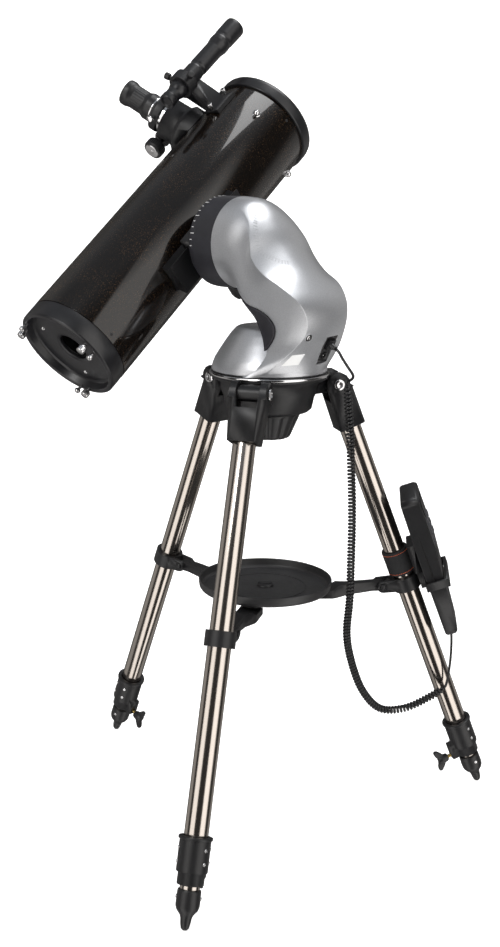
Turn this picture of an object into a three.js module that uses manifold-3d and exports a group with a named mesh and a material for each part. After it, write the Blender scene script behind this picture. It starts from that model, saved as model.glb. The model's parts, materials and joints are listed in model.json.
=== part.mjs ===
// Newtonian reflector telescope on a single-arm motorised alt-azimuth mount and a
// stainless steel tripod, with a hand controller on a curly cord.
// Millimetres, +Z up. The origin is on the floor, under the middle of the telescope's box.
import * as THREE from 'three';
import { mergeVertices } from 'three/addons/utils/BufferGeometryUtils.js';
import Module from 'manifold-3d';

const wasm = await Module();
wasm.setup();

const rad = THREE.MathUtils.degToRad;
const GAP = 0.3; // clearance between pieces that touch

// ---- driving dimensions ----

// tripod
const LEG_AZIMUTHS = { front: -105.1, right: 14.9, left: 134.9 };
const LEG_SPLAY = 22.05; // from vertical
const HINGE_RADIUS = 84.3;
const HINGE_HEIGHT = 570.7;
const LEG_LENGTH = 615.8; // hinge to foot tip, collapsed
const LEG_TUBE_R = 14;
const LEG_TUBE_WALL = 1.2;
const LEG_TUBE_TOP = 30; // all distances down a leg start at its hinge
const LEG_TUBE_END = 540;
const INNER_LEG_R = 11.5;
const INNER_LEG_TOP = 100;
const BOLT_R = 4;
const LUG_HALF = 14; // half width of the lug that a leg bracket straddles
const BRACKET_HALF = 23;
const BRACKET_END = 60;
const CLAMP_AT = 290.5;
const CLAMP_BOLT_AT = 281;
const CLAMP_BOLT_IN = 33.95; // clamp bolt, inboard of the leg's axis
const COLLAR_TOP = 513;
const COLLAR_END = 552;
const KNOB_AT = 561;
const HEAD_TOP = 585.6;
const HEAD_R = 74.3;
const HEAD_BOTTOM = 536;
const LUG_BOTTOM = 557;
const LOCK_KNOB_BOTTOM = 503;
const ARM_INNER_R = 60; // inner end of a spreader arm, from the middle
const TRAY_R = 86;
const TRAY_RIM = 317.3;
const TRAY_FLOOR = 303.5;

// mount head, in its own frame: +X towards the telescope tube
const HEAD_AZIMUTH = 137.42;
const BASE_Z = 587.8;
const BASE_R = 72.4;
const BASE_TOP_Z = 642;
const BASE_TOP_R = 40.5;
const ALT_HEIGHT = 741.3;
const DRUM_R = 56.6;
const DRUM_START = 48.9;
const DRUM_END = 91;
const SHELL_WALL = 3;

// optical tube, in its own frame: +Z towards the sky, +X away from the mount, +Y the upper side
const TUBE_ELEVATION = 39.83;
const TUBE_OFFSET = 189.2; // tube axis from the azimuth axis
const TUBE_R = 70;
const TUBE_WALL = 1;
const TUBE_REAR = -194.7;
const TUBE_FRONT = 226.9;
const FRONT_RIM = 246.5;
const REAR_RIM = -219.2;
const FOCUS_AT = 160;
const FOCUS_ANGLE = 40.7; // round the tube from +X
const DRAWTUBE_R = 22;
const DRAWTUBE_IN = 64;
const DRAWTUBE_END = 124;
const EYEPIECE_END = 178;
const PINION_R = 5;
const PINION_AT = 103; // pinion shaft, out from the tube's axis
const SPIDER_AT = 192;
const MIRROR_R = 57; // 114 mm aperture
const FINDER_X = 38;
const FINDER_Y = 111;

// hand controller, beside the right leg
const HANDSET_TURN = -20; // round the leg
const HANDSET_OUT = 42; // its middle, from the leg's axis
const HANDSET_TOP = 170;
const HANDSET_END = 376;

// curly cord
const CORD_R = 1.8;
const CURL_R = 5.5;

// ---- materials ----

const finish = (color, roughness, metalness) => new THREE.MeshStandardMaterial({ color, roughness, metalness });
const FINISH = {
  tube: finish(0x14100c, 0.18, 0.3),
  black: finish(0x1a1a1b, 0.55, 0),
  satin: finish(0x232428, 0.4, 0.1),
  silver: finish(0xb9bcc2, 0.35, 0.6),
  steel: finish(0xa89f94, 0.25, 1),
  chrome: finish(0xd0d0d2, 0.12, 1),
  mirror: finish(0xe8ecef, 0.03, 1),
  gear: finish(0xb89a4a, 0.3, 1),
  rubber: finish(0x161617, 0.8, 0),
};

// ---- making solids ----

/** A closed three.js geometry as a solid that can be joined and cut. */
const solidOf = (geometry) => {
  const bare = geometry.index ? geometry.toNonIndexed() : geometry.clone();
  bare.deleteAttribute('normal');
  bare.deleteAttribute('uv');
  const merged = mergeVertices(bare, 1e-4);
  const corners = merged.index.array;
  const triVerts = [];
  for (let i = 0; i < corners.length; i += 3) {
    const [a, b, c] = [corners[i], corners[i + 1], corners[i + 2]];
    if (a !== b && b !== c && c !== a) triVerts.push(a, b, c);
  }
  const vertProperties = new Float32Array(merged.attributes.position.array);
  return new wasm.Manifold(new wasm.Mesh({ numProp: 3, vertProperties, triVerts: new Uint32Array(triVerts) }));
};

const geometryOf = (solid) => {
  const mesh = solid.getMesh();
  const geometry = new THREE.BufferGeometry();
  geometry.setAttribute('position', new THREE.BufferAttribute(new Float32Array(mesh.vertProperties), 3));
  geometry.setIndex(new THREE.BufferAttribute(new Uint32Array(mesh.triVerts), 1));
  geometry.computeVertexNormals();
  return geometry;
};

const join = (...solids) => solids.reduce((a, b) => a.add(b));
const cut = (solid, ...tools) => tools.reduce((a, b) => a.subtract(b), solid);

/** A solid turned about Z from [radius, z] points, from the bottom of the axis up to its top. */
const turned = (points, segments = 28) => {
  const geometry = new THREE.LatheGeometry(points.map(([r, z]) => new THREE.Vector2(r, z)), segments);
  geometry.rotateX(Math.PI / 2);
  return solidOf(geometry);
};

/** The same for a ring, whose profile closes on itself. */
const ring = (points, segments = 28) => turned([...points, points[0]], segments);

const rod = (r, z0, z1, segments = 20) => turned([[0, z0], [r, z0], [r, z1], [0, z1]], segments);

const pipe = (outer, inner, z0, z1, segments = 28) =>
  ring([[inner, z0], [outer, z0], [outer, z1], [inner, z1]], segments);

const box = (x0, x1, y0, y1, z0, z1) => {
  const geometry = new THREE.BoxGeometry(x1 - x0, y1 - y0, z1 - z0);
  geometry.translate((x0 + x1) / 2, (y0 + y1) / 2, (z0 + z1) / 2);
  return solidOf(geometry);
};

const alongX = (solid) => solid.rotate([0, 90, 0]);
const alongY = (solid) => solid.rotate([-90, 0, 0]);

/** An outline of [x, z] points, extruded from y0 to y1. */
const plate = (points, y0, y1) => {
  const shape = new THREE.Shape(points.map(([x, z]) => new THREE.Vector2(x, z)));
  const geometry = new THREE.ExtrudeGeometry(shape, { depth: y1 - y0, bevelEnabled: false });
  geometry.rotateX(Math.PI / 2);
  geometry.translate(0, y1, 0);
  return solidOf(geometry);
};

/** An outline of [x, y] points, extruded from z0 to z1. */
const slab = (points, z0, z1) => {
  const shape = new THREE.Shape(points.map(([x, y]) => new THREE.Vector2(x, y)));
  const geometry = new THREE.ExtrudeGeometry(shape, { depth: z1 - z0, bevelEnabled: false });
  geometry.translate(0, 0, z0);
  return solidOf(geometry);
};

/** [x, y] points of an arc, from one angle to another in degrees. */
const arc = (cx, cy, r, from, to, steps = 8) =>
  Array.from({ length: steps + 1 }, (_, i) => {
    const a = rad(from + ((to - from) * i) / steps);
    return [cx + r * Math.cos(a), cy + r * Math.sin(a)];
  });

/** A closed skin over rings of points, with flat ends. */
const loft = (rings) => {
  const count = rings[0].length;
  const corners = [];
  const tri = (a, b, c) => corners.push(...a, ...b, ...c);
  const middle = (points) => [0, 1, 2].map((k) => points.reduce((sum, p) => sum + p[k], 0) / count);
  const [first, last] = [rings[0], rings[rings.length - 1]];
  for (let i = 0; i < count; i += 1) {
    const j = (i + 1) % count;
    tri(middle(first), first[i], first[j]);
    tri(middle(last), last[j], last[i]);
    for (let s = 0; s + 1 < rings.length; s += 1) {
      tri(rings[s][i], rings[s + 1][i], rings[s + 1][j]);
      tri(rings[s][i], rings[s + 1][j], rings[s][j]);
    }
  }
  const geometry = new THREE.BufferGeometry();
  geometry.setAttribute('position', new THREE.Float32BufferAttribute(corners, 3));
  return solidOf(geometry);
};

/** A plain cord or rod of 8 sides that follows a list of points. */
const cord = (points, radius, steps) => {
  const path = new THREE.CatmullRomCurve3(points.map((p) => new THREE.Vector3(...p)), false, 'centripetal');
  const section = new THREE.Shape(arc(0, 0, radius, 0, 315, 7).map(([x, y]) => new THREE.Vector2(x, y)));
  return solidOf(new THREE.ExtrudeGeometry(section, { steps, extrudePath: path, bevelEnabled: false }));
};

const group = new THREE.Group();

/** Adds one named piece to a group. */
const add = (parent, name, solid, material) => {
  const mesh = new THREE.Mesh(geometryOf(solid), material);
  mesh.name = name;
  parent.add(mesh);
};

// ---- tripod ----

const legGroup = (azimuth) => {
  const turn = new THREE.Group();
  turn.rotation.z = rad(azimuth);
  const leg = new THREE.Group();
  leg.position.set(HINGE_RADIUS, 0, HINGE_HEIGHT);
  leg.rotation.y = -rad(LEG_SPLAY);
  turn.add(leg);
  group.add(turn);
  return { turn, leg };
};

const tripodHead = () => {
  const body = turned([
    [0, HEAD_BOTTOM], [41.5, HEAD_BOTTOM], [50, HEAD_BOTTOM + 2], [54, HEAD_BOTTOM + 5.5], [57, LUG_BOTTOM - 1],
    [60, LUG_BOTTOM + 6], [61, HEAD_TOP - 12], [HEAD_R - 2, HEAD_TOP - 6],
    [HEAD_R, HEAD_TOP - 4], [HEAD_R, HEAD_TOP], [0, HEAD_TOP],
  ], 40);
  const lug = plate([
    [50, HEAD_TOP - 8], ...arc(HINGE_RADIUS, HINGE_HEIGHT, 10, 90, -60, 5), [50, LUG_BOTTOM],
  ], -LUG_HALF, LUG_HALF);
  const lugs = Object.values(LEG_AZIMUTHS).map((azimuth) => {
    const bore = alongY(rod(BOLT_R + GAP, -30, 30, 16)).translate([HINGE_RADIUS, 0, HINGE_HEIGHT]);
    return cut(lug, bore).rotate([0, 0, azimuth]);
  });
  const spindleBore = rod(8.3, HEAD_BOTTOM - 1, HEAD_TOP + 1, 20);
  return cut(join(body, ...lugs), spindleBore);
};

/** The socket that holds the leg tube's top and straddles the head's lug. */
const legBracket = () => {
  const profile = [
    [17.5, -BRACKET_END], [17.5, -8], ...arc(0, 0, 15, -20, 180, 8), [-16, -22], [-17.5, -BRACKET_END],
  ];
  const block = plate(profile, -BRACKET_HALF, BRACKET_HALF);
  const slot = box(-30, 30, -LUG_HALF - GAP, LUG_HALF + GAP, -20, 30);
  const socket = rod(LEG_TUBE_R + GAP, -BRACKET_END - 1, -LEG_TUBE_TOP + GAP, 28);
  const bore = alongY(rod(BOLT_R + GAP, -30, 30, 16));
  const shoulders = [-1, 1].map((side) =>
    box(-30, 30, -8, 8, -80, 80).rotate([side * -6.2, 0, 0]).translate([0, side * (BRACKET_HALF + 5.55), -37]));
  const corners = [45, 135, 225, 315].map((angle) => box(23.2, 40, -15, 15, -80, -9).rotate([0, 0, angle]));
  return cut(block, slot, socket, bore, ...shoulders, ...corners);
};

const hingeBolt = () => {
  const end = BRACKET_HALF + 1.8;
  return alongY(turned([
    [0, -end], [6, -end], [6, -BRACKET_HALF - GAP], [BOLT_R, -BRACKET_HALF - GAP],
    [BOLT_R, BRACKET_HALF + GAP], [6, BRACKET_HALF + GAP], [6, end], [0, end],
  ], 16));
};

/** The clamp ring half way down a leg, with two ears for a spreader arm. */
const ringClamp = () => {
  const z0 = -CLAMP_AT - 9.5;
  const z1 = -CLAMP_AT + 9.5;
  const band = pipe(18.5, LEG_TUBE_R - 1, z0, z1);
  const ear = plate([
    [-10, z0 + 1], ...arc(-CLAMP_BOLT_IN, -CLAMP_BOLT_AT, 8, 250, 90, 6), [-10, z1],
  ], -11.5, 11.5);
  const between = box(-60, -19, -7.3, 7.3, -CLAMP_BOLT_AT - 30, -CLAMP_BOLT_AT + 30);
  const bore = alongY(rod(2.8, -20, 20, 12)).translate([-CLAMP_BOLT_IN, 0, -CLAMP_BOLT_AT]);
  const tube = rod(LEG_TUBE_R + GAP, z0 - 5, z1 + 5, 28);
  return cut(join(band, ear), between, bore, tube);
};

/** The arm from a leg's clamp to the hub, in the leg's vertical plane: x is the distance from the middle. */
const spreaderArm = () => {
  const splay = rad(LEG_SPLAY);
  const boltX = HINGE_RADIUS + CLAMP_BOLT_AT * Math.sin(splay) - CLAMP_BOLT_IN * Math.cos(splay);
  const boltZ = HINGE_HEIGHT - CLAMP_BOLT_AT * Math.cos(splay) - CLAMP_BOLT_IN * Math.sin(splay);
  const side = plate([
    [ARM_INNER_R, boltZ], [ARM_INNER_R, boltZ - 9], [92, boltZ - 11], [boltX - 14, boltZ - 6],
    ...arc(boltX, boltZ, 6.5, -90, 90, 6), [TRAY_R + 12, boltZ + 5.5], [TRAY_R + 3, boltZ],
  ], -30, 30);
  const plan = slab([
    [0, -15], [88, -14], [112, -7], [200, -7], [200, 7], [112, 7], [88, 14], [0, 15],
  ], 0, 400);
  const bolt = alongY(turned([
    [0, -13], [4.5, -13], [4.5, -11.8], [2.5, -11.8], [2.5, 11.8], [4.5, 11.8], [4.5, 13], [0, 13],
  ], 12)).translate([boltX, 0, boltZ]);
  return join(side.intersect(plan), bolt);
};

const spreaderHub = () => {
  const lobes = Object.values(LEG_AZIMUTHS).map((azimuth) =>
    slab([[0, -17], [52, -13], ...arc(58, 0, 13, -70, 70, 5), [52, 13], [0, 17]], 298, TRAY_FLOOR - GAP)
      .rotate([0, 0, azimuth]));
  return join(...lobes, rod(16, 289, TRAY_FLOOR - GAP, 20));
};

const accessoryTray = () => cut(
  turned([
    [0, TRAY_FLOOR], [TRAY_R - 5, TRAY_FLOOR], [TRAY_R - 1, TRAY_FLOOR + 3], [TRAY_R, TRAY_RIM],
    [TRAY_R - 2.2, TRAY_RIM], [TRAY_R - 3.5, TRAY_FLOOR + 4], [TRAY_R - 6, TRAY_FLOOR + 2.1], [12, TRAY_FLOOR + 2.1],
    [12, TRAY_FLOOR + 2.5], [0, TRAY_FLOOR + 2.5],
  ], 48),
  rod(7.3, TRAY_FLOOR - 2, TRAY_RIM, 16),
);

/** The twist latch that holds the tray down on the hub. */
const trayLatch = () => join(
  rod(7, TRAY_FLOOR, TRAY_FLOOR + 3, 16),
  turned([[0, TRAY_FLOOR + 2.7], [11, TRAY_FLOOR + 2.7], [10, TRAY_FLOOR + 5.5], [0, TRAY_FLOOR + 5.5]], 20),
  box(-9, 9, -1.5, 1.5, TRAY_FLOOR + 5, TRAY_FLOOR + 8),
);

/** The collar at the end of the leg tube: its inboard boss takes the wing knob. */
const legCollar = () => {
  const band = pipe(18.2, INNER_LEG_R + GAP, -COLLAR_END - 14, -COLLAR_TOP);
  const boss = box(-24, -8, -7, 7, -COLLAR_END - 14, -COLLAR_END + 8);
  const tube = rod(LEG_TUBE_R + GAP, -LEG_TUBE_END - GAP, -COLLAR_TOP + 1, 28);
  const inside = rod(INNER_LEG_R + GAP, -COLLAR_END - 20, -COLLAR_TOP + 1, 28);
  const thread = alongX(rod(2.8, -40, 0, 12)).translate([0, 0, -KNOB_AT]);
  const waist = pipe(30, 15.6, -COLLAR_END - 20, -COLLAR_END, 28).subtract(box(-31, -8, -7, 7, -600, -500));
  return cut(join(band, boss), tube, inside, thread, waist);
};

const wingKnob = () => {
  const stem = alongX(rod(2.5, -34, -INNER_LEG_R - 2 * GAP, 12));
  const wing = plate([[-32, -5], [-32, 5], [-40, 15], [-46, 14], [-44, 0], [-46, -14], [-40, -15]], -3.2, 3.2);
  return join(stem, wing).translate([0, 0, -KNOB_AT]);
};

/** The sliding inner leg with its moulded foot. */
const innerLeg = () => turned([
  [0, -LEG_LENGTH], [3.4, -LEG_LENGTH + 1], [5.4, -LEG_LENGTH + 7], [7, -LEG_LENGTH + 17], [13, -LEG_LENGTH + 25],
  [13.6, -LEG_LENGTH + 45], [INNER_LEG_R, -LEG_LENGTH + 45], [INNER_LEG_R, -INNER_LEG_TOP],
  [INNER_LEG_R - LEG_TUBE_WALL, -INNER_LEG_TOP], [INNER_LEG_R - LEG_TUBE_WALL, -LEG_LENGTH + 50], [0, -LEG_LENGTH + 50],
], 20);

for (const [place, azimuth] of Object.entries(LEG_AZIMUTHS)) {
  const { turn, leg } = legGroup(azimuth);
  add(leg, `leg_bracket_${place}`, legBracket(), FINISH.black);
  add(leg, `hinge_bolt_${place}`, hingeBolt(), FINISH.chrome);
  const legTube = pipe(LEG_TUBE_R, LEG_TUBE_R - LEG_TUBE_WALL, -LEG_TUBE_END, -LEG_TUBE_TOP);
  add(leg, `leg_tube_${place}`, legTube, FINISH.steel);
  add(leg, `ring_clamp_${place}`, ringClamp(), FINISH.black);
  add(turn, `spreader_arm_${place}`, spreaderArm(), FINISH.black);
  add(leg, `leg_collar_${place}`, legCollar(), FINISH.black);
  add(leg, `wing_knob_${place}`, wingKnob(), FINISH.black);
  add(leg, `inner_leg_${place}`, innerLeg(), FINISH.steel);
}
add(group, 'tripod_head', tripodHead(), FINISH.black);
add(group, 'spreader_hub', spreaderHub(), FINISH.black);
add(group, 'accessory_tray', accessoryTray(), FINISH.black);
add(group, 'tray_latch', trayLatch(), FINISH.black);

/** The big knob under the head, whose bolt holds the mount down. */
const mountLockKnob = () => join(
  turned([
    [0, LOCK_KNOB_BOTTOM], [24, LOCK_KNOB_BOTTOM], [28, LOCK_KNOB_BOTTOM + 3.5], [39.5, HEAD_BOTTOM - 3],
    [40.5, HEAD_BOTTOM - GAP], [0, HEAD_BOTTOM - GAP],
  ], 32),
  rod(8, HEAD_BOTTOM - 4, HEAD_TOP - 4, 16),
);
add(group, 'mount_lock_knob', mountLockKnob(), FINISH.black);

// ---- mount head ----

const head = new THREE.Group();
head.rotation.z = rad(HEAD_AZIMUTH);
group.add(head);

// The arm's stations, from the altitude drum round the back and down to the base. Each gives the back
// point and the inside point in the plane of the arm, the half widths at the back edge and at the
// widest, and how far the section has changed from a circle to the narrow back and round inside.
const ARM_STATIONS = [
  { back: [48.6, 797.9], inside: [48.6, 684.7], edge: 52, side: 56.6, change: 0 },
  { back: [22, 795], inside: [40, 684], edge: 52, side: 56, change: 0.1 },
  { back: [2, 782], inside: [30, 680.5], edge: 51, side: 55.5, change: 0.35 },
  { back: [-14, 764], inside: [21, 675], edge: 52, side: 55, change: 0.7 },
  { back: [-28, 744], inside: [13, 667], edge: 51, side: 53, change: 1 },
  { back: [-47, 722], inside: [6, 658], edge: 47, side: 50, change: 1 },
  { back: [-69, 700], inside: [2, 649], edge: 41, side: 46, change: 1 },
  { back: [-87, 680], inside: [0, 640], edge: 33, side: 43, change: 1 },
  { back: [-95, 661], inside: [-1, 630], edge: 27, side: 41.5, change: 1 },
  { back: [-92, 641], inside: [-2, 620], edge: 27, side: 43, change: 1 },
  { back: [-82, 622], inside: [-4, 609], edge: 33, side: 48, change: 1 },
  { back: [-75, 604], inside: [-6, 598], edge: 48, side: 60, change: 1 },
  { back: [-71, BASE_Z], inside: [-8, BASE_Z], edge: 56, side: 70, change: 1 },
];
const ROUND_STEPS = [0, 0.03, 0.1, 0.2, 0.35, 0.52, 0.7, 0.85, 0.96, 1];
const WAIST_STEPS = [0, 0, 0.02, 0.14, 0.32, 0.55, 0.74, 0.88, 0.965, 1];
const WAIST_WIDTHS = [[0, 0], [0.6, 0], [1, 0], [0.65, 0.35], [0.25, 0.75], [0, 1], [0, 0.94], [0, 0.68], [0, 0.38], [0, 0]];

/** One section of the arm, shrunk by inset, as a ring of points. */
const armSection = ({ back, inside, edge, side, change }, inset) => {
  const chord = Math.hypot(inside[0] - back[0], inside[1] - back[1]);
  const half = ROUND_STEPS.map((roundStep, k) => {
    const [edgeShare, sideShare] = WAIST_WIDTHS[k];
    const along = THREE.MathUtils.lerp(roundStep, WAIST_STEPS[k], change);
    const round = 2 * side * Math.sqrt(roundStep * (1 - roundStep));
    const width = THREE.MathUtils.lerp(round, edge * edgeShare + side * sideShare, change);
    return [along, width];
  });
  const shrinkAlong = 1 - (2 * inset) / chord;
  const shrinkWide = 1 - inset / side;
  const place = ([along, width], sign) => {
    const t = 0.5 + (along - 0.5) * shrinkAlong;
    return [
      THREE.MathUtils.lerp(back[0], inside[0], t), sign * width * shrinkWide, THREE.MathUtils.lerp(back[1], inside[1], t),
    ];
  };
  const left = half.map((point) => place(point, 1));
  const right = half.slice(1, -1).reverse().map((point) => place(point, -1));
  return [...left, ...right].reverse();
};

/** The part of every section between two shares of its chord, as a block wider than the arm. */
const armSlice = (from, to) => loft(ARM_STATIONS.map(({ back, inside }) => {
  const at = (t, y) => [THREE.MathUtils.lerp(back[0], inside[0], t), y, THREE.MathUtils.lerp(back[1], inside[1], t)];
  return [at(from, -90), at(from, 90), at(to, 90), at(to, -90)].reverse();
}));

const stretchEnds = (rings, first, last) => [
  rings[0].map((p) => [p[0] + first, p[1], p[2]]), ...rings, rings[rings.length - 1].map((p) => [p[0], p[1], p[2] - last]),
];
const armOutside = loft(ARM_STATIONS.map((station) => armSection(station, 0)));
const armInside = loft(stretchEnds(ARM_STATIONS.map((station) => armSection(station, SHELL_WALL)), 5, 5));
const gearRoom = rod(41, BASE_Z - 1, BASE_Z + 11, 36);
const armShell = cut(armOutside, armInside, gearRoom);

// The port panel lies in the right shell, low on the back.
const PORT_AT = [-80, -13, 621];
const PORT_TILT = -27;
const portSpace = (inset, out) => box(-out, 6, -11 + inset, 11 - inset, -19 + inset, 19 - inset)
  .rotate([0, PORT_TILT, 0]).translate(PORT_AT);

const armCasing = cut(armShell, armSlice(0.74, 1.2), portSpace(0, 8));
const innerPanel = armShell.intersect(armSlice(0.745, 1.2));
const halfSpace = (side) => (side > 0 ? box(-200, 200, GAP / 2, 200, 400, 900) : box(-200, 200, -200, -GAP / 2, 400, 900));
add(head, 'arm_shell_left', armCasing.intersect(halfSpace(1)), FINISH.silver);
add(head, 'arm_shell_right', armCasing.intersect(halfSpace(-1)), FINISH.silver);
add(head, 'arm_inner_panel', innerPanel, FINISH.satin);

const socketSpace = box(-8, 3.5, -6, 6, 1, 15).rotate([0, PORT_TILT, 0]).translate(PORT_AT);
const jackSpace = alongX(rod(4, -8, 3.5, 16)).translate([0, 0, -9]).rotate([0, PORT_TILT, 0]).translate(PORT_AT);
add(head, 'port_panel', cut(portSpace(GAP, 0.6), socketSpace, jackSpace), FINISH.satin);

/** The cord's plug, seated in the upper socket, with a tapered relief. */
const handsetPlug = () => join(
  box(-5, 3, -5.5, 5.5, 1.5, 14.5),
  alongX(turned([[0, -12], [2.6, -12], [4.2, -4.5], [0, -4.5]], 12)).translate([0, 0, 8]),
).rotate([0, PORT_TILT, 0]).translate(PORT_AT);
add(head, 'handset_plug', handsetPlug(), FINISH.black);

/** The round base under the arm: a hollow cone with a floor, cut away where the arm stands. */
const baseHousing = () => {
  const skin = turned([
    [0, BASE_Z], [BASE_R - 1, BASE_Z], [BASE_R, BASE_Z + 3], [63, 610], [52, 630], [BASE_TOP_R, BASE_TOP_Z],
    [0, BASE_TOP_Z + 1.5],
  ], 36);
  const hollow = turned([
    [0, BASE_Z + 3], [BASE_R - 4, BASE_Z + 3], [60, 610], [49, 629], [BASE_TOP_R - 3, BASE_TOP_Z - 3], [0, BASE_TOP_Z - 2],
  ], 36);
  const armRoom = loft(stretchEnds(ARM_STATIONS.map((station) => armSection(station, -GAP)), 0, 5));
  const spindle = rod(13, BASE_Z - 1, BASE_Z + 10, 24);
  return cut(skin, hollow, armRoom, spindle);
};
const base = baseHousing().decompose().sort((a, b) => b.volume() - a.volume())[0];
add(head, 'base_housing', base, FINISH.silver);

/** The fixed azimuth wheel and its spindle, which stand on the tripod head. */
const azimuthGear = () => {
  const teeth = 36;
  const outline = Array.from({ length: teeth * 2 }, (_, i) => {
    const r = i % 2 ? 38 : 40;
    return [r * Math.cos((Math.PI * i) / teeth), r * Math.sin((Math.PI * i) / teeth)];
  });
  return join(slab(outline, BASE_Z + 5, BASE_Z + 9), rod(12, HEAD_TOP + GAP, BASE_Z + 9, 24));
};
add(group, 'azimuth_gear', azimuthGear(), FINISH.gear);

/** The altitude drive's motor: body, gearbox and a shaft. */
const altitudeMotor = () => alongX(join(rod(9, 0, 20, 20), box(-11, 11, -11, 11, 19, 28), rod(2, 27, 34, 12)));
add(head, 'altitude_motor', altitudeMotor().translate([-22, -14, ALT_HEIGHT - 20]), FINISH.chrome);

// ---- altitude drum and clamp ----

const altitude = new THREE.Group();
altitude.position.set(0, 0, ALT_HEIGHT);
altitude.rotation.x = rad(90 - TUBE_ELEVATION);
head.add(altitude);

/** The drum on its shaft, with the worm wheel inside the arm's head. */
const altitudeDrum = () => alongX(turned([
  [0, 12], [8, 12], [8, 24], [40, 24], [40, 29], [12, 29], [12, 38], [48, 38], [48, DRUM_START], [DRUM_R, DRUM_START],
  [DRUM_R, DRUM_END - 12], [DRUM_R - 1, DRUM_END - 3], [DRUM_R - 4, DRUM_END], [0, DRUM_END],
], 40));
add(altitude, 'altitude_drum', altitudeDrum(), FINISH.satin);

const BAR_INNER = 103.3;
const SCREW_X = 103; // the clamp screw
const tubeRoom = rod(TUBE_R + GAP, -200, 200, 64).translate([TUBE_OFFSET, 0, 0]);
const dovetailOutline = (grow) => [
  [BAR_INNER - grow, -22 - grow], [BAR_INNER - grow, 22 + grow], [BAR_INNER + 9, 17 + grow], [BAR_INNER + 9, -17 - grow],
];

/** The saddle on the drum's end: a block with a dovetail slot and a clamp screw hole. */
const saddleClamp = () => {
  const block = box(DRUM_END + GAP, 111, -32, 32, -38, 38);
  const slot = slab(dovetailOutline(GAP), -50, 50);
  const screw = alongY(rod(3.3, -60, 0, 12));
  return cut(block, slot, screw.translate([SCREW_X, -18, 0]));
};
add(altitude, 'saddle_clamp', saddleClamp(), FINISH.black);

/** The bar on the tube, hollowed to the tube's curve. */
const dovetailBar = () => cut(
  join(slab(dovetailOutline(0), -75, 75), slab([[112.3, -16], [112.3, 16], [122, 20], [122, -20]].reverse(), -75, 75)
    .add(box(111.5, 113, -16, 16, -75, 75))),
  tubeRoom,
);
add(altitude, 'dovetail_bar', dovetailBar(), FINISH.black);

const saddleKnob = () => join(
  rod(3, 22.6, 66, 12),
  turned([[0, 60], [8, 60], [13, 67], [14, 82], [11, 92], [0, 93]], 16),
);
add(altitude, 'saddle_knob', saddleKnob().rotate([90, 0, 0]).translate([SCREW_X, 0, 0]), FINISH.black);

// ---- optical tube ----

const optics = new THREE.Group();
optics.position.x = TUBE_OFFSET;
altitude.add(optics);

// The focuser's own frame has +X out of the tube along the focuser, on the tube's axis at FOCUS_AT.
const toFocuser = (solid) => solid.translate([0, 0, FOCUS_AT]).rotate([0, 0, FOCUS_ANGLE]);

const mainTube = () => cut(
  pipe(TUBE_R, TUBE_R - TUBE_WALL, TUBE_REAR, TUBE_FRONT, 64),
  toFocuser(alongX(rod(23.5, 40, 100, 24))),
);
add(optics, 'main_tube', mainTube(), FINISH.tube);

const frontRing = () => ring([
  [65.5, 209], [68.7, 209], [68.7, TUBE_FRONT + GAP], [72.5, TUBE_FRONT + GAP], [72.5, FRONT_RIM - 6],
  [70.5, FRONT_RIM - 1], [68.5, FRONT_RIM], [65.5, FRONT_RIM],
], 48);
add(optics, 'front_ring', frontRing(), FINISH.satin);

/** The rear ring with the mirror's cell: a dished plate and the seat that carries the mirror. */
const rearRing = () => ring([
  [20, -207], [60, -207], [62, REAR_RIM], [69.2, REAR_RIM], [69.2, TUBE_REAR - GAP], [68.7, TUBE_REAR - GAP],
  [68.7, -182], [66, -182], [66, -200], [56, -200], [56, -177.3], [50, -177.3], [50, -200], [20, -200],
], 40);
add(optics, 'rear_ring', rearRing(), FINISH.satin);

const primaryMirror = () => turned([
  [0, -177], [MIRROR_R, -177], [MIRROR_R, -165], [40, -166.4], [20, -167.5], [0, -168],
], 48);
add(optics, 'primary_mirror', primaryMirror(), FINISH.mirror);

const behindSecondary = (from, to) => box(from, to, -100, 100, -100, 100).rotate([0, 45, 0]);
const secondaryHolder = () => {
  const stalk = cut(rod(15.5, -30, 26, 24), behindSecondary(-6.3, 100));
  const hub = rod(11, 24, 42, 20);
  const vanes = [45, 135, 225, 315].map((angle) => box(8, 68.7, -0.6, 0.6, 26, 38).rotate([0, 0, angle - FOCUS_ANGLE]));
  return toFocuser(join(stalk, hub, ...vanes));
};
add(optics, 'secondary_holder', secondaryHolder(), FINISH.black);
const secondaryMirror = toFocuser(rod(16.5, -40, 40, 28).intersect(behindSecondary(-6, 0)));
add(optics, 'secondary_mirror', secondaryMirror, FINISH.mirror);

/** The focuser's saddle and housing, bored for the drawtube and for the focusing shaft with its pinion. */
const PINION_Y = -(DRAWTUBE_R + PINION_R + 0.4);
const focuserBase = () => {
  const neck = alongX(turned([[0, 62], [34, 62], [34, 79], [30, 83], [28.5, 86], [28, 107], [0, 107]], 32));
  const housing = slab([
    [90, -12], ...arc(PINION_AT, PINION_Y, 11, 180, 360, 8), [PINION_AT + 11, -21], [107, -12],
  ], -18, 18);
  const bore = alongX(rod(DRAWTUBE_R + GAP, 40, 140, 32));
  const shaftBore = rod(3 + GAP, -60, 60, 12).translate([PINION_AT, PINION_Y, 0]);
  const pinionRoom = rod(PINION_R + 0.8, -12.4, 12.4, 16).translate([PINION_AT, PINION_Y, 0]);
  const tubeSkin = rod(TUBE_R + GAP, -100, 100, 64);
  return toFocuser(cut(join(neck, housing), tubeSkin, bore, shaftBore, pinionRoom));
};
add(optics, 'focuser_base', focuserBase(), FINISH.black);

const drawtube = () => toFocuser(alongX(pipe(DRAWTUBE_R, 16.2, DRAWTUBE_IN, DRAWTUBE_END, 32)));
add(optics, 'drawtube', drawtube(), FINISH.chrome);

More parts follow.
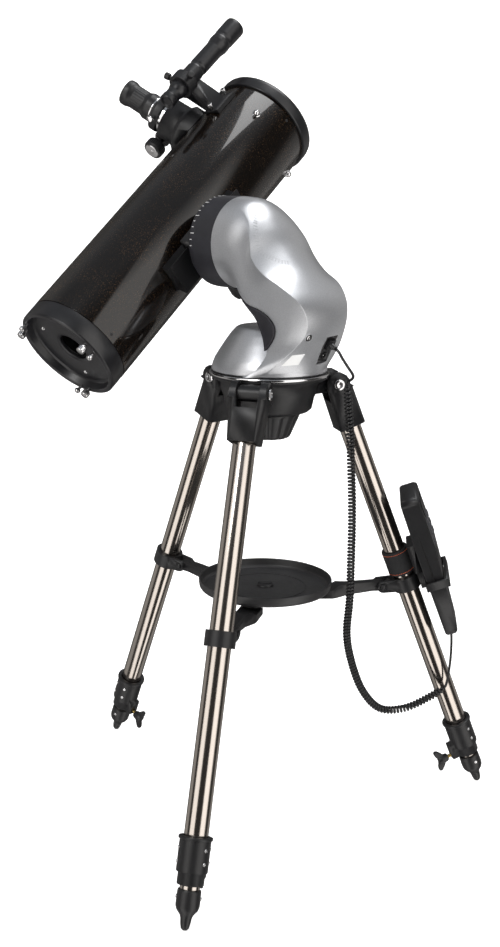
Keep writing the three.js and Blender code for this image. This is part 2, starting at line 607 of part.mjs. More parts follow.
const focusShaft = () => {
  const knob = turned([
    [0, 27], [12, 27], [14, 29], [14, 39], [12.5, 41], [10, 41], [10, 42.5], [0, 42.5],
  ], 20);
  return toFocuser(join(
    rod(3, -40, 40, 12), rod(PINION_R, -12, 12, 12), knob, knob.rotate([180, 0, 0]),
  ).translate([PINION_AT, PINION_Y, 0]));
};
add(optics, 'focus_shaft', focusShaft(), FINISH.black);

const eyepiece = () => toFocuser(alongX(turned([
  [0, 102], [15.9, 102], [15.9, DRAWTUBE_END + GAP], [18, DRAWTUBE_END + GAP], [18, 141], [16.2, 146], [16, 162],
  [17.4, 170], [17.4, EYEPIECE_END - 2], [15.5, EYEPIECE_END], [12, EYEPIECE_END], [9, EYEPIECE_END - 6],
  [0, EYEPIECE_END - 6],
], 28)));
add(optics, 'eyepiece', eyepiece(), FINISH.black);

const finderScope = () => turned([
  [0, 138], [9.5, 138], [10.5, 142], [10.5, 158], [11.5, 163], [12.5, 166], [12.5, 268], [14, 270], [14.4, 304],
  [12.4, 304], [12, 298], [0, 297],
], 24).translate([FINDER_X, FINDER_Y, 0]);
add(optics, 'finder_scope', finderScope(), FINISH.satin);

/** The finder's ring on its slanting stem, with a foot on the tube. */
const finderBracket = () => {
  const band = pipe(17.5, 12.5 + GAP, 170, 186, 24).translate([FINDER_X, FINDER_Y, 0]);
  const stem = slab([[-7, 69], [12, 67], [44, 97], [27, 103]], 172, 198);
  const foot = slab([[-12, 66], [15, 64], [16, 71], [-11, 75]], 168, 208);
  const room = rod(12.5 + GAP, 150, 230, 24).translate([FINDER_X, FINDER_Y, 0]);
  return cut(join(band, stem, foot), rod(TUBE_R + GAP, 100, 250, 64), room);
};
add(optics, 'finder_bracket', finderBracket(), FINISH.black);

// ---- hand controller ----

const rightLeg = group.getObjectByName('leg_tube_right').parent;
const handset = new THREE.Group();
handset.rotation.z = rad(HANDSET_TURN);
rightLeg.add(handset);

/** An outline of [y, z] points, extruded from x0 to x1. */
const facing = (points, x0, x1) => plate(points, -x1, -x0).rotate([0, 0, 90]);

/** The hand controller's body: a side profile cut to the outline of its face. */
const handsetBody = () => {
  const side = plate([
    [30, -HANDSET_TOP - 4], [34, -HANDSET_TOP], [50, -HANDSET_TOP], [54, -HANDSET_TOP - 5], [54.5, -250],
    [51, -300], [46, -HANDSET_END + 8], [42, -HANDSET_END], [31, -HANDSET_END], [28.7, -HANDSET_END + 5], [28.7, -250],
  ], -50, 50);
  const face = facing([
    ...arc(25, -HANDSET_TOP - 10, 10, 0, 90, 3), ...arc(-25, -HANDSET_TOP - 10, 10, 90, 180, 3), [-34, -250],
    [-31, -300], ...arc(-17, -HANDSET_END + 10, 10, 180, 270, 3), ...arc(17, -HANDSET_END + 10, 10, 270, 360, 3),
    [31, -300], [34, -250],
  ], 20, 70);
  const recess = box(52.4, 60, -24.5, 24.5, -245, -207);
  return cut(side.intersect(face), recess);
};
add(handset, 'handset_body', handsetBody(), FINISH.black);

/** The key sheet, which rides 1.3 mm clear of its recess: a plate with its raised keys. */
const handsetKeypad = () => {
  const keys = [-16, 0, 16].flatMap((y) => [-238, -226, -214].map((z) =>
    box(54, 56.4, y - 5.5, y + 5.5, z - 3.8, z + 3.8)));
  return join(box(53.7, 54.9, -24, 24, -244.5, -207.5), ...keys);
};
add(handset, 'handset_keypad', handsetKeypad(), FINISH.rubber);

/** The holder: a back plate against the strap and a sleeve that the controller drops into. */
const handsetHolder = () => {
  const back = join(box(17.7, 28.4, -19, 19, -278, -238), box(19.2, 28.4, -19, 19, -300, -277));
  const sleeve = cut(box(26, 57.5, -37, 37, -300, -289), box(28.4, 53.2, -32.4, 32.4, -310, -280));
  return join(back, sleeve);
};
add(handset, 'handset_holder', handsetHolder(), FINISH.black);

const legStrap = () => join(
  pipe(17.4, LEG_TUBE_R + GAP, -276, -241, 28),
  box(-6, 6, -20.5, -15.5, -274, -243),
);
add(handset, 'leg_strap', legStrap(), FINISH.rubber);

// ---- the curly cord, from the plug to the hand controller ----

const LEAD_TOP = [
  [78.6, -54.6, 622.4], [82, -57.7, 619.8], [87, -60, 611.5], [94, -56, 601], [101, -43, 590], [101.5, -31, 583.5],
  [97.5, -24.5, 579],
];
const CURL = [
  [96, -22, 573], [98.5, -23, 545], [101.1, -24, 518], [104, -25, 474], [106.6, -26, 429], [107.8, -25, 390],
  [108.2, -24, 350], [108.5, -20, 296], [107, -12, 248], [114.7, 0, 206], [131.6, 12, 160], [157.8, 26, 128],
  [192.5, 36, 125], [225, 40, 140], [244.5, 42.6, 152],
];
const LEAD_BOTTOM = [
  [247, 43.2, 155.3], [250, 46, 170], [252.3, 49, 192], [252.8, 52, 215], [251.7, 54, 234.1],
];
add(group, 'cord_lead_top', cord(LEAD_TOP, CORD_R, 24), FINISH.rubber);
add(group, 'cord_curl', cord(CURL, CURL_R, 48), FINISH.rubber);
add(group, 'cord_lead_bottom', cord(LEAD_BOTTOM, CORD_R, 14), FINISH.rubber);

// ---- the origin goes under the middle of the box, measured without the cord ----

group.updateMatrixWorld(true);
const extent = new THREE.Box3();
const isCord = (mesh) => mesh.name.startsWith('cord_') || mesh.name === 'handset_plug';
group.traverse((object) => {
  if (object.isMesh && !isCord(object)) extent.expandByObject(object, true);
});
const middle = extent.getCenter(new THREE.Vector3());
const telescope = new THREE.Group();
group.position.set(-middle.x, -middle.y, -extent.min.z);
telescope.add(group);
telescope.updateMatrixWorld(true);

export default telescope;
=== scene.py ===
"""A newtonian reflector telescope on a single-arm mount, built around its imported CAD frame."""
import json
import math

import bmesh
import bpy
from mathutils import Matrix, Vector


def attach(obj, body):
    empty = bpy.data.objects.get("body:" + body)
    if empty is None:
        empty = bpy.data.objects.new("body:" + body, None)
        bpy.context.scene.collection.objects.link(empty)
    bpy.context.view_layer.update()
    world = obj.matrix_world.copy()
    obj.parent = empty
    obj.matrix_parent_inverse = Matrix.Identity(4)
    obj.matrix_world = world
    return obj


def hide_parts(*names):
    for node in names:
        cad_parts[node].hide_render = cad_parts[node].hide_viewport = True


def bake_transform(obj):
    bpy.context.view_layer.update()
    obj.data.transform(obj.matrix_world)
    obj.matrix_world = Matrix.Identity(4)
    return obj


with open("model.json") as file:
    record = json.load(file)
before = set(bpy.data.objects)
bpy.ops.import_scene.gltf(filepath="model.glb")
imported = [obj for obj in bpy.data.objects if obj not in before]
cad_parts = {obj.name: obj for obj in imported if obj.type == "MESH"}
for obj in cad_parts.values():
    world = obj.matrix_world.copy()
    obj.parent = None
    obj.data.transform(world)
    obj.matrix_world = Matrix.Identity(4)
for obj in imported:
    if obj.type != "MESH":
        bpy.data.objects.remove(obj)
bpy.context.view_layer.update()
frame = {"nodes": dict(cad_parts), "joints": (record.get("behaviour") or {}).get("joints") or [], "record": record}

bl_info = {
    "name": "Reflector Telescope",
    "version": (1, 0, 0),
    "blender": (4, 5, 0),
    "location": "3D View > Sidebar > Telescope",
    "description": "Builds a reflector telescope, piece by piece, around its packed CAD frame",
    "category": "Object",
}

MM = 0.001
LEGS = ("front", "right", "left")
NODES = frame["nodes"]
JOINTS = {joint["name"]: joint for joint in frame["joints"]}

# ---- frames of the assembly, from its joints ----


def joint_point(name):
    return Vector(JOINTS[name]["pos_m"])


def joint_axis(name):
    return Vector(JOINTS[name]["axis"]).normalized()


def frame_of(origin, x_axis, y_axis, z_axis):
    """A placing matrix from an origin in metres and three axes."""
    matrix = Matrix((x_axis, y_axis, z_axis)).transposed().to_4x4()
    matrix.translation = origin
    return matrix


UP = Vector((0, 0, 1))
ORIGIN = joint_point("azimuth") - UP * 0.590
MOUNT = Matrix.Translation(ORIGIN)


def leg_frame(place):
    """+Z up the leg from its hinge, +X outboard, +Y along the hinge."""
    up_leg = -joint_axis(f"leg_extend_{place}")
    hinge = joint_axis(f"leg_fold_{place}")
    return frame_of(joint_point(f"leg_fold_{place}"), hinge.cross(up_leg), hinge, up_leg)


ACROSS = -joint_axis("altitude")
HEAD = frame_of(ORIGIN, ACROSS, UP.cross(ACROSS), UP)
SKYWARD = joint_axis("focus_turn")
OPTICS = frame_of(joint_point("altitude") + ACROSS * 0.1892, ACROSS, SKYWARD.cross(ACROSS), SKYWARD)
FOCUS_OUT = joint_axis("focus_travel")
FOCUSER = frame_of(
    OPTICS.translation + SKYWARD * 0.160, FOCUS_OUT, SKYWARD.cross(FOCUS_OUT), SKYWARD
)
HANDSET = leg_frame("right") @ Matrix.Rotation(math.radians(-20), 4, "Z")
ALONG_X = Matrix.Rotation(math.radians(90), 4, "Y")
ALONG_Y = Matrix.Rotation(math.radians(-90), 4, "X")


def at(x, y, z):
    return Matrix.Translation(Vector((x, y, z)) * MM)


# ---- finishes ----

FINISHES = {}


class Nodes:
    """Adds shader nodes to one material, and joins them up."""

    def __init__(self, name):
        self.material = bpy.data.materials.new(name)
        self.material.use_nodes = True
        self.tree = self.material.node_tree
        self.shader = self.tree.nodes["Principled BSDF"]

    def add(self, kind, **settings):
        node = self.tree.nodes.new(kind)
        for key, value in settings.items():
            if key in node.inputs:
                node.inputs[key].default_value = value
            else:
                setattr(node, key, value)
        return node

    def link(self, output, target):
        self.tree.links.new(output, target)

    def coordinates(self, kind="Object", scale=(1, 1, 1)):
        texture = self.add("ShaderNodeTexCoord")
        mapping = self.add("ShaderNodeMapping")
        mapping.inputs["Scale"].default_value = scale
        self.link(texture.outputs[kind], mapping.inputs["Vector"])
        return mapping.outputs["Vector"]

    def noise(self, scale, detail=3.0, roughness=0.5, kind="Object", stretch=(1, 1, 1)):
        noise = self.add("ShaderNodeTexNoise", Scale=scale, Detail=detail, Roughness=roughness)
        self.link(self.coordinates(kind, stretch), noise.inputs["Vector"])
        return noise.outputs["Fac"]

    def ramp(self, value, *stops):
        ramp = self.add("ShaderNodeValToRGB")
        elements = ramp.color_ramp.elements
        while len(elements) < len(stops):
            elements.new(0.5)
        for element, (position, colour) in zip(elements, stops):
            element.position = position
            element.color = (*colour, 1) if len(colour) == 3 else colour
        self.link(value, ramp.inputs["Fac"])
        return ramp.outputs["Color"]

    def spread(self, value, low, high):
        spread = self.add("ShaderNodeMapRange")
        spread.inputs["To Min"].default_value = low
        spread.inputs["To Max"].default_value = high
        self.link(value, spread.inputs["Value"])
        return spread.outputs["Result"]

    def bump(self, height, strength, distance):
        bump = self.add("ShaderNodeBump", Strength=strength, Distance=distance)
        self.link(height, bump.inputs["Height"])
        self.link(bump.outputs["Normal"], self.shader.inputs["Normal"])

    def set(self, **values):
        for name, value in values.items():
            self.shader.inputs[name.replace("_", " ")].default_value = value


def shade(colour, factor):
    return tuple(min(1.0, channel * factor) for channel in colour[:3])


def plastic(name, colour, rough, grain, depth, variation=0.18, specular=0.5):
    """A moulded plastic with its grain and slight wear in colour and gloss."""
    nodes = Nodes(name)
    cloud = nodes.noise(38.0, 4.0)
    nodes.link(
        nodes.ramp(cloud, (0.3, shade(colour, 1 - variation)), (0.7, shade(colour, 1 + variation))),
        nodes.shader.inputs["Base Color"],
    )
    nodes.link(nodes.spread(nodes.noise(160.0, 3.0), rough * 0.85, rough * 1.15), nodes.shader.inputs["Roughness"])
    nodes.bump(nodes.noise(grain, 2.0), 0.35, depth)
    nodes.set(Specular_IOR_Level=specular)
    return nodes.material


def metal(name, colour, rough, kind="UV", stretch=(60, 1.2, 1), streak=0.12, depth=0.00002):
    """A metal with fine lines drawn along it."""
    nodes = Nodes(name)
    lines = nodes.noise(9.0, 5.0, 0.65, kind, stretch)
    nodes.link(
        nodes.ramp(lines, (0.35, shade(colour, 1 - streak)), (0.65, shade(colour, 1 + streak))),
        nodes.shader.inputs["Base Color"],
    )
    nodes.link(nodes.spread(lines, rough * 0.75, rough * 1.3), nodes.shader.inputs["Roughness"])
    nodes.bump(lines, 0.25, depth)
    nodes.set(Metallic=1.0)
    return nodes.material


def flake_paint(colour, flake):
    """Gloss black with a fine brown and gold flake under a clear coat."""
    nodes = Nodes("gloss flake paint")
    cells = nodes.add("ShaderNodeTexVoronoi", Scale=1300.0)
    nodes.link(nodes.coordinates(), cells.inputs["Vector"])
    sparkle = nodes.ramp(
        cells.outputs["Color"], (0.72, (0, 0, 0)), (0.95, (1, 1, 1))
    )
    patch = nodes.ramp(nodes.noise(26.0, 3.0), (0.35, (0.15, 0.15, 0.15)), (0.72, (1, 1, 1)))
    amount = nodes.add("ShaderNodeMath", operation="MULTIPLY")
    nodes.link(sparkle, amount.inputs[0])
    nodes.link(patch, amount.inputs[1])
    nodes.link(
        nodes.ramp(amount.outputs["Value"], (0.0, colour), (1.0, flake)), nodes.shader.inputs["Base Color"]
    )
    nodes.link(nodes.spread(amount.outputs["Value"], 0.22, 0.45), nodes.shader.inputs["Roughness"])
    nodes.set(Coat_Weight=0.75, Coat_Roughness=0.05, Specular_IOR_Level=0.12)
    return nodes.material


def silver_paint(colour):
    """Silver metallic paint on a moulded shell."""
    nodes = Nodes("silver metallic paint")
    cells = nodes.add("ShaderNodeTexVoronoi", Scale=1600.0)
    nodes.link(nodes.coordinates(), cells.inputs["Vector"])
    nodes.link(
        nodes.ramp(cells.outputs["Color"], (0.1, shade(colour, 0.9)), (0.9, shade(colour, 1.1))),
        nodes.shader.inputs["Base Color"],
    )
    nodes.link(nodes.spread(nodes.noise(55.0, 3.0), 0.30, 0.38), nodes.shader.inputs["Roughness"])
    nodes.bump(nodes.noise(900.0, 2.0), 0.12, 0.00002)
    nodes.set(Metallic=0.72, Coat_Weight=0.25, Coat_Roughness=0.2)
    return nodes.material


def woven(name, colour):
    """A woven webbing."""
    nodes = Nodes(name)
    wave = nodes.add("ShaderNodeTexWave", Scale=330.0, Distortion=0.6)
    nodes.link(nodes.coordinates(), wave.inputs["Vector"])
    nodes.link(
        nodes.ramp(wave.outputs["Fac"], (0.2, shade(colour, 0.6)), (0.8, shade(colour, 1.5))),
        nodes.shader.inputs["Base Color"],
    )
    nodes.bump(wave.outputs["Fac"], 0.5, 0.0002)
    nodes.set(Roughness=0.85)
    return nodes.material


# ---- making pieces ----


def piece_from(mesh_source, name, finish, body, replaced=(), sharp=32.0):
    """A finished object from a bmesh that is already in place."""
    mesh = bpy.data.meshes.new(name)
    mesh_source.to_mesh(mesh)
    mesh_source.free()
    piece = bpy.data.objects.new(name, mesh)
    bpy.context.scene.collection.objects.link(piece)
    return finish_piece(piece, finish, body, replaced, sharp)


def finish_piece(piece, finish, body, replaced=(), sharp=32.0):
    """Smooths, paints, rides and, where it stands for CAD nodes, replaces."""
    piece.name = piece.name.replace(" ", ".")
    piece.data.shade_smooth()
    piece.data.set_sharp_from_angle(angle=math.radians(sharp))
    if finish:
        piece.data.materials.clear()
        piece.data.materials.append(FINISHES[finish])
    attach(piece, body)
    if replaced:
        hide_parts(*replaced)
    return piece


BODY_OF = {
    node: body for body, nodes in frame["record"]["behaviour"]["bodies"].items() for node in nodes
}


def eased(profile, radius, closed):
    """The profile with each corner rounded by three points."""
    points = [Vector(point) for point in profile]
    count = len(points)
    result = []
    for index, point in enumerate(points):
        if not closed and index in (0, count - 1):
            result.append(point)
            continue
        before = points[index - 1]
        after = points[(index + 1) % count]
        cut = min(radius, (before - point).length * 0.45, (after - point).length * 0.45)
        start = point + (before - point).normalized() * cut
        end = point + (after - point).normalized() * cut
        middle = (start + end) * 0.25 + point * 0.5
        result.extend((start, middle, end))
    return result


def turned(profile, place, segments=48, easing=0.5, closed=False, ripple=None, target=None):
    """Turns (radius, height) points in millimetres about Z. An open profile starts and ends on the axis."""
    shape = target or bmesh.new()
    wrap = shape.loops.layers.uv.verify()
    points = eased(profile, easing, closed) if easing else [Vector(point) for point in profile]
    rings = []
    for radius, height in points:
        if radius < 1e-6:
            rings.append([shape.verts.new(place @ Vector((0, 0, height * MM)))])
            continue
        ring = []
        for step in range(segments):
            angle = math.tau * step / segments
            reach = radius * (ripple(angle, radius, height) if ripple else 1)
            spot = Vector((reach * math.cos(angle), reach * math.sin(angle), height)) * MM
            ring.append(shape.verts.new(place @ spot))
        rings.append(ring)
    pairs = list(zip(rings, rings[1:])) + ([(rings[-1], rings[0])] if closed else [])
    heights = [point[1] * MM for point in points] + [points[0][1] * MM]
    made = []
    for level, (low, high) in enumerate(pairs):
        if len(low) == 1 and len(high) == 1:
            continue
        for step in range(segments):
            corners = [(low, step, 0), (low, step + 1, 0), (high, step + 1, 1), (high, step, 1)]
            if len(low) == 1:
                corners = [(low, step, 0), (high, step + 1, 1), (high, step, 1)]
            elif len(high) == 1:
                corners = [(low, step, 0), (low, step + 1, 0), (high, step, 1)]
            verts = [ring[0] if len(ring) == 1 else ring[number % segments] for ring, number, _ in corners]
            face = shape.faces.new(verts)
            made.append(face)
            for loop, (_, number, rise) in zip(face.loops, corners):
                loop[wrap].uv = (number / segments, heights[level + rise])
    bmesh.ops.recalc_face_normals(shape, faces=made)
    return shape


def prism(outline, low, high, place, bevel=0.5, segments=2, target=None):
    """Extrudes an (x, y) outline in millimetres between two heights and eases its edges."""
    part = bmesh.new()
    bottom = [part.verts.new(place @ (Vector((x, y, low)) * MM)) for x, y in outline]
    top = [part.verts.new(place @ (Vector((x, y, high)) * MM)) for x, y in outline]
    count = len(outline)
    part.faces.new(bottom[::-1])
    part.faces.new(top)
    for index in range(count):
        following = (index + 1) % count
        part.faces.new((bottom[index], bottom[following], top[following], top[index]))
    bmesh.ops.recalc_face_normals(part, faces=part.faces)
    if bevel:
        edges = [edge for edge in part.edges if edge.calc_face_angle(0) > math.radians(25)]
        bmesh.ops.bevel(
            part, geom=edges, offset=bevel * MM, segments=segments, affect="EDGES", clamp_overlap=True
        )
    return merged(part, target)


def merged(part, target):
    """Adds one bmesh to another, or gives it back."""
    if target is None:
        return part
    mesh = bpy.data.meshes.new("part")
    part.to_mesh(mesh)
    part.free()
    target.from_mesh(mesh)
    bpy.data.meshes.remove(mesh)
    return target


def block(x0, x1, y0, y1, z0, z1, place, bevel=0.5, segments=2, target=None):
    outline = [(x0, y0), (x1, y0), (x1, y1), (x0, y1)]
    return prism(outline, z0, z1, place, bevel, segments, target)


def refined(node, finish, bevel=0.6, name=None, sharp=32.0):
    """A smooth, eased copy of a CAD node, which stands for it."""
    copy = NODES[node].data.copy()
    shape = bmesh.new()
    shape.from_mesh(copy)
    bpy.data.meshes.remove(copy)
    bmesh.ops.remove_doubles(shape, verts=shape.verts, dist=0.00002)
    bmesh.ops.join_triangles(
        shape, faces=shape.faces, angle_face_threshold=math.radians(1), angle_shape_threshold=math.radians(60)
    )
    if bevel:
        edges = [
            edge for edge in shape.edges
            if len(edge.link_faces) == 2 and edge.calc_face_angle(0) > math.radians(38)
        ]
        bmesh.ops.bevel(
            shape, geom=edges, offset=bevel * MM, segments=2, affect="EDGES", clamp_overlap=True
        )
    return piece_from(shape, name or node.replace("_", "."), finish, BODY_OF[node], (node,), sharp)


def repaint(node, finish):
    """Gives a CAD node that stays its finish."""
    for slot in NODES[node].material_slots:
        slot.material = FINISHES[finish]


# ---- repeated fittings, set out with geometry nodes ----


def set_out_tree():
    """Sets a fitting on every point of a mesh, turned to the point's facing."""
    tree = bpy.data.node_groups.new("Set out fittings", "GeometryNodeTree")
    face = tree.interface
    face.new_socket("Geometry", in_out="INPUT", socket_type="NodeSocketGeometry")
    face.new_socket("Fitting", in_out="INPUT", socket_type="NodeSocketObject")
    face.new_socket("Finish", in_out="INPUT", socket_type="NodeSocketMaterial")
    size = face.new_socket("Size", in_out="INPUT", socket_type="NodeSocketFloat")
    size.default_value = 1.0
    face.new_socket("Geometry", in_out="OUTPUT", socket_type="NodeSocketGeometry")
    new = tree.nodes.new
    entry, leave = new("NodeGroupInput"), new("NodeGroupOutput")
    points, stamp = new("GeometryNodeMeshToPoints"), new("GeometryNodeObjectInfo")
    spread, realize = new("GeometryNodeInstanceOnPoints"), new("GeometryNodeRealizeInstances")
    paint = new("GeometryNodeSetMaterial")
    facing, along = new("GeometryNodeInputNamedAttribute"), new("GeometryNodeInputNamedAttribute")
    aim, spin = new("FunctionNodeAlignRotationToVector"), new("FunctionNodeAlignRotationToVector")
    for node, attribute in ((facing, "facing"), (along, "along")):
        node.data_type = "FLOAT_VECTOR"
        node.inputs["Name"].default_value = attribute
    aim.axis = "Z"
    spin.axis = "X"
    spin.pivot_axis = "Z"
    link = tree.links.new
    link(entry.outputs["Geometry"], points.inputs["Mesh"])
    link(entry.outputs["Fitting"], stamp.inputs["Object"])
    link(points.outputs["Points"], spread.inputs["Points"])
    link(stamp.outputs["Geometry"], spread.inputs["Instance"])
    link(facing.outputs["Attribute"], aim.inputs["Vector"])
    link(aim.outputs["Rotation"], spin.inputs["Rotation"])
    link(along.outputs["Attribute"], spin.inputs["Vector"])
    link(spin.outputs["Rotation"], spread.inputs["Rotation"])
    link(entry.outputs["Size"], spread.inputs["Scale"])
    link(spread.outputs["Instances"], realize.inputs["Geometry"])
    link(realize.outputs["Geometry"], paint.inputs["Geometry"])
    link(entry.outputs["Finish"], paint.inputs["Material"])
    link(paint.outputs["Geometry"], leave.inputs["Geometry"])
    return tree


def set_out(name, fitting, places, finish, body, size=1.0):
    """One piece of many like fittings. A place is (point, facing, along), in metres."""
    tree = bpy.data.node_groups.get("Set out fittings") or set_out_tree()
    mesh = bpy.data.meshes.new(name)
    mesh.from_pydata([tuple(point) for point, _, _ in places], [], [])
    for attribute, column in (("facing", 1), ("along", 2)):
        layer = mesh.attributes.new(attribute, "FLOAT_VECTOR", "POINT")
        for index, place in enumerate(places):
            layer.data[index].vector = place[column]
    carrier = bpy.data.objects.new(name + ".points", mesh)
    bpy.context.scene.collection.objects.link(carrier)
    modifier = carrier.modifiers.new("Set out", "NODES")
    modifier.node_group = tree
    inputs = {item.name: item.identifier for item in tree.interface.items_tree if item.in_out == "INPUT"}
    modifier[inputs["Fitting"]] = fitting
    modifier[inputs["Finish"]] = FINISHES[finish]
    modifier[inputs["Size"]] = size
    bpy.context.view_layer.update()
    graph = bpy.context.evaluated_depsgraph_get()
    result = bpy.data.meshes.new_from_object(carrier.evaluated_get(graph))
    bpy.data.objects.remove(carrier)
    piece = bpy.data.objects.new(name, result)
    bpy.context.scene.collection.objects.link(piece)
    return finish_piece(piece, finish, body)


def fitting(name, build):
    """A hidden master shape at the origin for set_out."""
    shape = bmesh.new()
    build(shape)
    mesh = bpy.data.meshes.new(name)
    shape.to_mesh(mesh)
    shape.free()
    return bpy.data.objects.new(name, mesh)


def pan_screw(radius=2.2, height=1.3):
    """A round head with a cross recess drawn as a turned dimple."""
    def build(shape):
        turned(
            [(0, -0.6), (radius, -0.6), (radius, height * 0.35), (radius * 0.72, height),
             (radius * 0.3, height), (radius * 0.18, height * 0.45), (0, height * 0.45)],
            Matrix.Identity(4), 20, 0.25, target=shape,
        )
    return fitting("pan screw", build)


def tick_mark(length, width, height=0.25):
    def build(shape):
        block(-length / 2, length / 2, -width / 2, width / 2, -0.2, height, Matrix.Identity(4), 0.06, 1, shape)
    return fitting("tick mark", build)


def spot(place, x, y, z, facing, along=(0, 0, 1)):
    """A place for set_out, in a frame's own millimetres."""
    turn = place.to_3x3()
    return place @ (Vector((x, y, z)) * MM), (turn @ Vector(facing)).normalized(), (turn @ Vector(along)).normalized()


# ---- sizes and colours that a user may change ----


class TelescopeSizes(bpy.types.PropertyGroup):
    """Sizes of the detail that Blender adds to the frame."""

    cord_diameter: bpy.props.FloatProperty(
        name="Cord diameter", description="Thickness of the cord's sheath",
        default=0.0036, subtype="DISTANCE", unit="LENGTH",
    )
    curl_diameter: bpy.props.FloatProperty(
        name="Curl diameter", description="Outside width of the curly stretch of the cord",
        default=0.0110, subtype="DISTANCE", unit="LENGTH",
    )
    curl_pitch: bpy.props.FloatProperty(
        name="Curl pitch", description="Distance from one turn of the curl to the next",
        default=0.0046, subtype="DISTANCE", unit="LENGTH",
    )


class TelescopeColours(bpy.types.PropertyGroup):
    """Colours of the telescope's finishes."""

    shell: bpy.props.FloatVectorProperty(
        name="Shell", description="Silver paint of the arm and the base",
        subtype="COLOR", size=3, min=0, max=1, default=(0.50, 0.51, 0.53),
    )
    tube: bpy.props.FloatVectorProperty(
        name="Tube", description="Ground colour of the tube's gloss paint",
        subtype="COLOR", size=3, min=0, max=1, default=(0.0032, 0.0024, 0.0020),
    )
    flake: bpy.props.FloatVectorProperty(
        name="Flake", description="Metallic flake in the tube's paint",
        subtype="COLOR", size=3, min=0, max=1, default=(0.085, 0.046, 0.020),
    )
    moulding: bpy.props.FloatVectorProperty(
        name="Moulding", description="Black mouldings of the tripod and the fittings",
        subtype="COLOR", size=3, min=0, max=1, default=(0.0085, 0.0085, 0.0095),
    )
    leg: bpy.props.FloatVectorProperty(
        name="Leg steel", description="Polished steel of the legs",
        subtype="COLOR", size=3, min=0, max=1, default=(0.52, 0.475, 0.435),
    )
    stitch: bpy.props.FloatVectorProperty(
        name="Stitching", description="Thread along the strap's edge",
        subtype="COLOR", size=3, min=0, max=1, default=(0.55, 0.10, 0.03),
    )


# ---- the arm's skin ----

# Each station gives, in millimetres in the head's frame, the back point and the inside point, the half
# widths at the back edge and at the widest, how far the section has changed from a circle, how far down the
# section its crowned back reaches, and the step at which the silver ends and the dark inner panel begins.
ARM_STATIONS = (
    (48.6, 797.9, 48.6, 684.7, 52, 56.6, 0, 0.02, 8.4),
    (22, 795, 40, 684, 51, 56, 0.1, 0.05, 8.2),
    (2, 782, 30, 680.5, 51, 55.5, 0.35, 0.10, 7.8),
    (-14, 764, 21, 675, 56, 55, 0.7, 0.16, 7.2),
    (-28, 744, 13, 667, 57, 53, 1, 0.21, 6.6),
    (-47, 722, 6, 658, 57, 50, 1, 0.18, 6.0),
    (-69, 700, 2, 649, 53, 46, 1, 0.07, 5.4),
    (-87, 680, 0, 640, 43, 43, 1, 0.03, 5.0),
    (-95, 661, -1, 630, 37, 41.5, 1, 0.04, 4.8),
    (-92, 641, -2, 620, 36, 43, 1, 0.05, 4.9),
    (-82, 622, -4, 609, 44, 48, 1, 0.11, 5.3),
    (-75, 604, -6, 598, 53, 60, 1, 0.28, 6.0),
    (-71, 587.8, -8, 587.8, 59, 70, 1, 0.50, 7.0),
)
ROUND_SHARES = (0, 0.03, 0.1, 0.2, 0.35, 0.52, 0.7, 0.85, 0.96, 1)
WAIST = (
    (0, 0, 0), (0, 0.6, 0), (0.02, 1, 0), (0.14, 0.65, 0.35), (0.32, 0.25, 0.75), (0.55, 0, 1),
    (0.74, 0, 0.94), (0.88, 0, 0.68), (0.965, 0, 0.38), (1, 0, 0),
)
LAST_STEP = 9.0
CREASE_SHARE = 0.4  # where the crease lies, as a share of the silver's points round a section


def flowing(values, position):
    """A smooth curve through evenly spaced values."""
    last = len(values) - 1
    position = min(max(position, 0.0), float(last))
    index = min(int(position), last - 1)
    t = position - index
    a, b, c, d = (values[min(max(index + shift, 0), last)] for shift in (-1, 0, 1, 2))
    return 0.5 * (2 * b + (c - a) * t + (2 * a - 5 * b + 4 * c - d) * t * t + (3 * b - a - 3 * c + d) * t ** 3)


def arm_station(position):
    return [flowing([station[part] for station in ARM_STATIONS], position) for part in range(9)]


def arm_point(position, step, side):
    """A point of the arm's skin: position along the stations, step round the half section."""
    back_x, back_z, in_x, in_z, edge, wide, change, crown, _ = arm_station(position)
    change = min(max(change, 0.0), 1.0)
    if step < 1:
        round_share = 0.03 * step * step
    elif step > 8:
        round_share = 1 - 0.04 * (9 - step) ** 2
    else:
        round_share = flowing(ROUND_SHARES, step)
    round_width = 2 * wide * math.sqrt(max(0.0, round_share * (1 - round_share)))
    if step <= 2:
        share, edge_part, wide_part = crown * (step / 2) ** 2, step / 2, 0.0
    else:
        share, edge_part, wide_part = (flowing([row[i] for row in WAIST[2:]], step - 2) for i in range(3))
        share = crown + (share - WAIST[2][0]) / (1 - WAIST[2][0]) * (1 - crown)
    along = round_share + (share - round_share) * change
    width = round_width + (edge * edge_part + wide * wide_part - round_width) * change
    return Vector((back_x + (in_x - back_x) * along, side * width, back_z + (in_z - back_z) * along))


def arm_step(position, share):
    """A step round the section. Shares 0 to 1 are the silver, 1 at the panel's edge, and 1 to 2 the panel."""
    edge = arm_station(position)[8]
    if share <= CREASE_SHARE:
        return 2 * share / CREASE_SHARE
    if share <= 1:
        return 2 + (edge - 2) * (share - CREASE_SHARE) / (1 - CREASE_SHARE)
    return edge + (LAST_STEP - edge) * (share - 1)


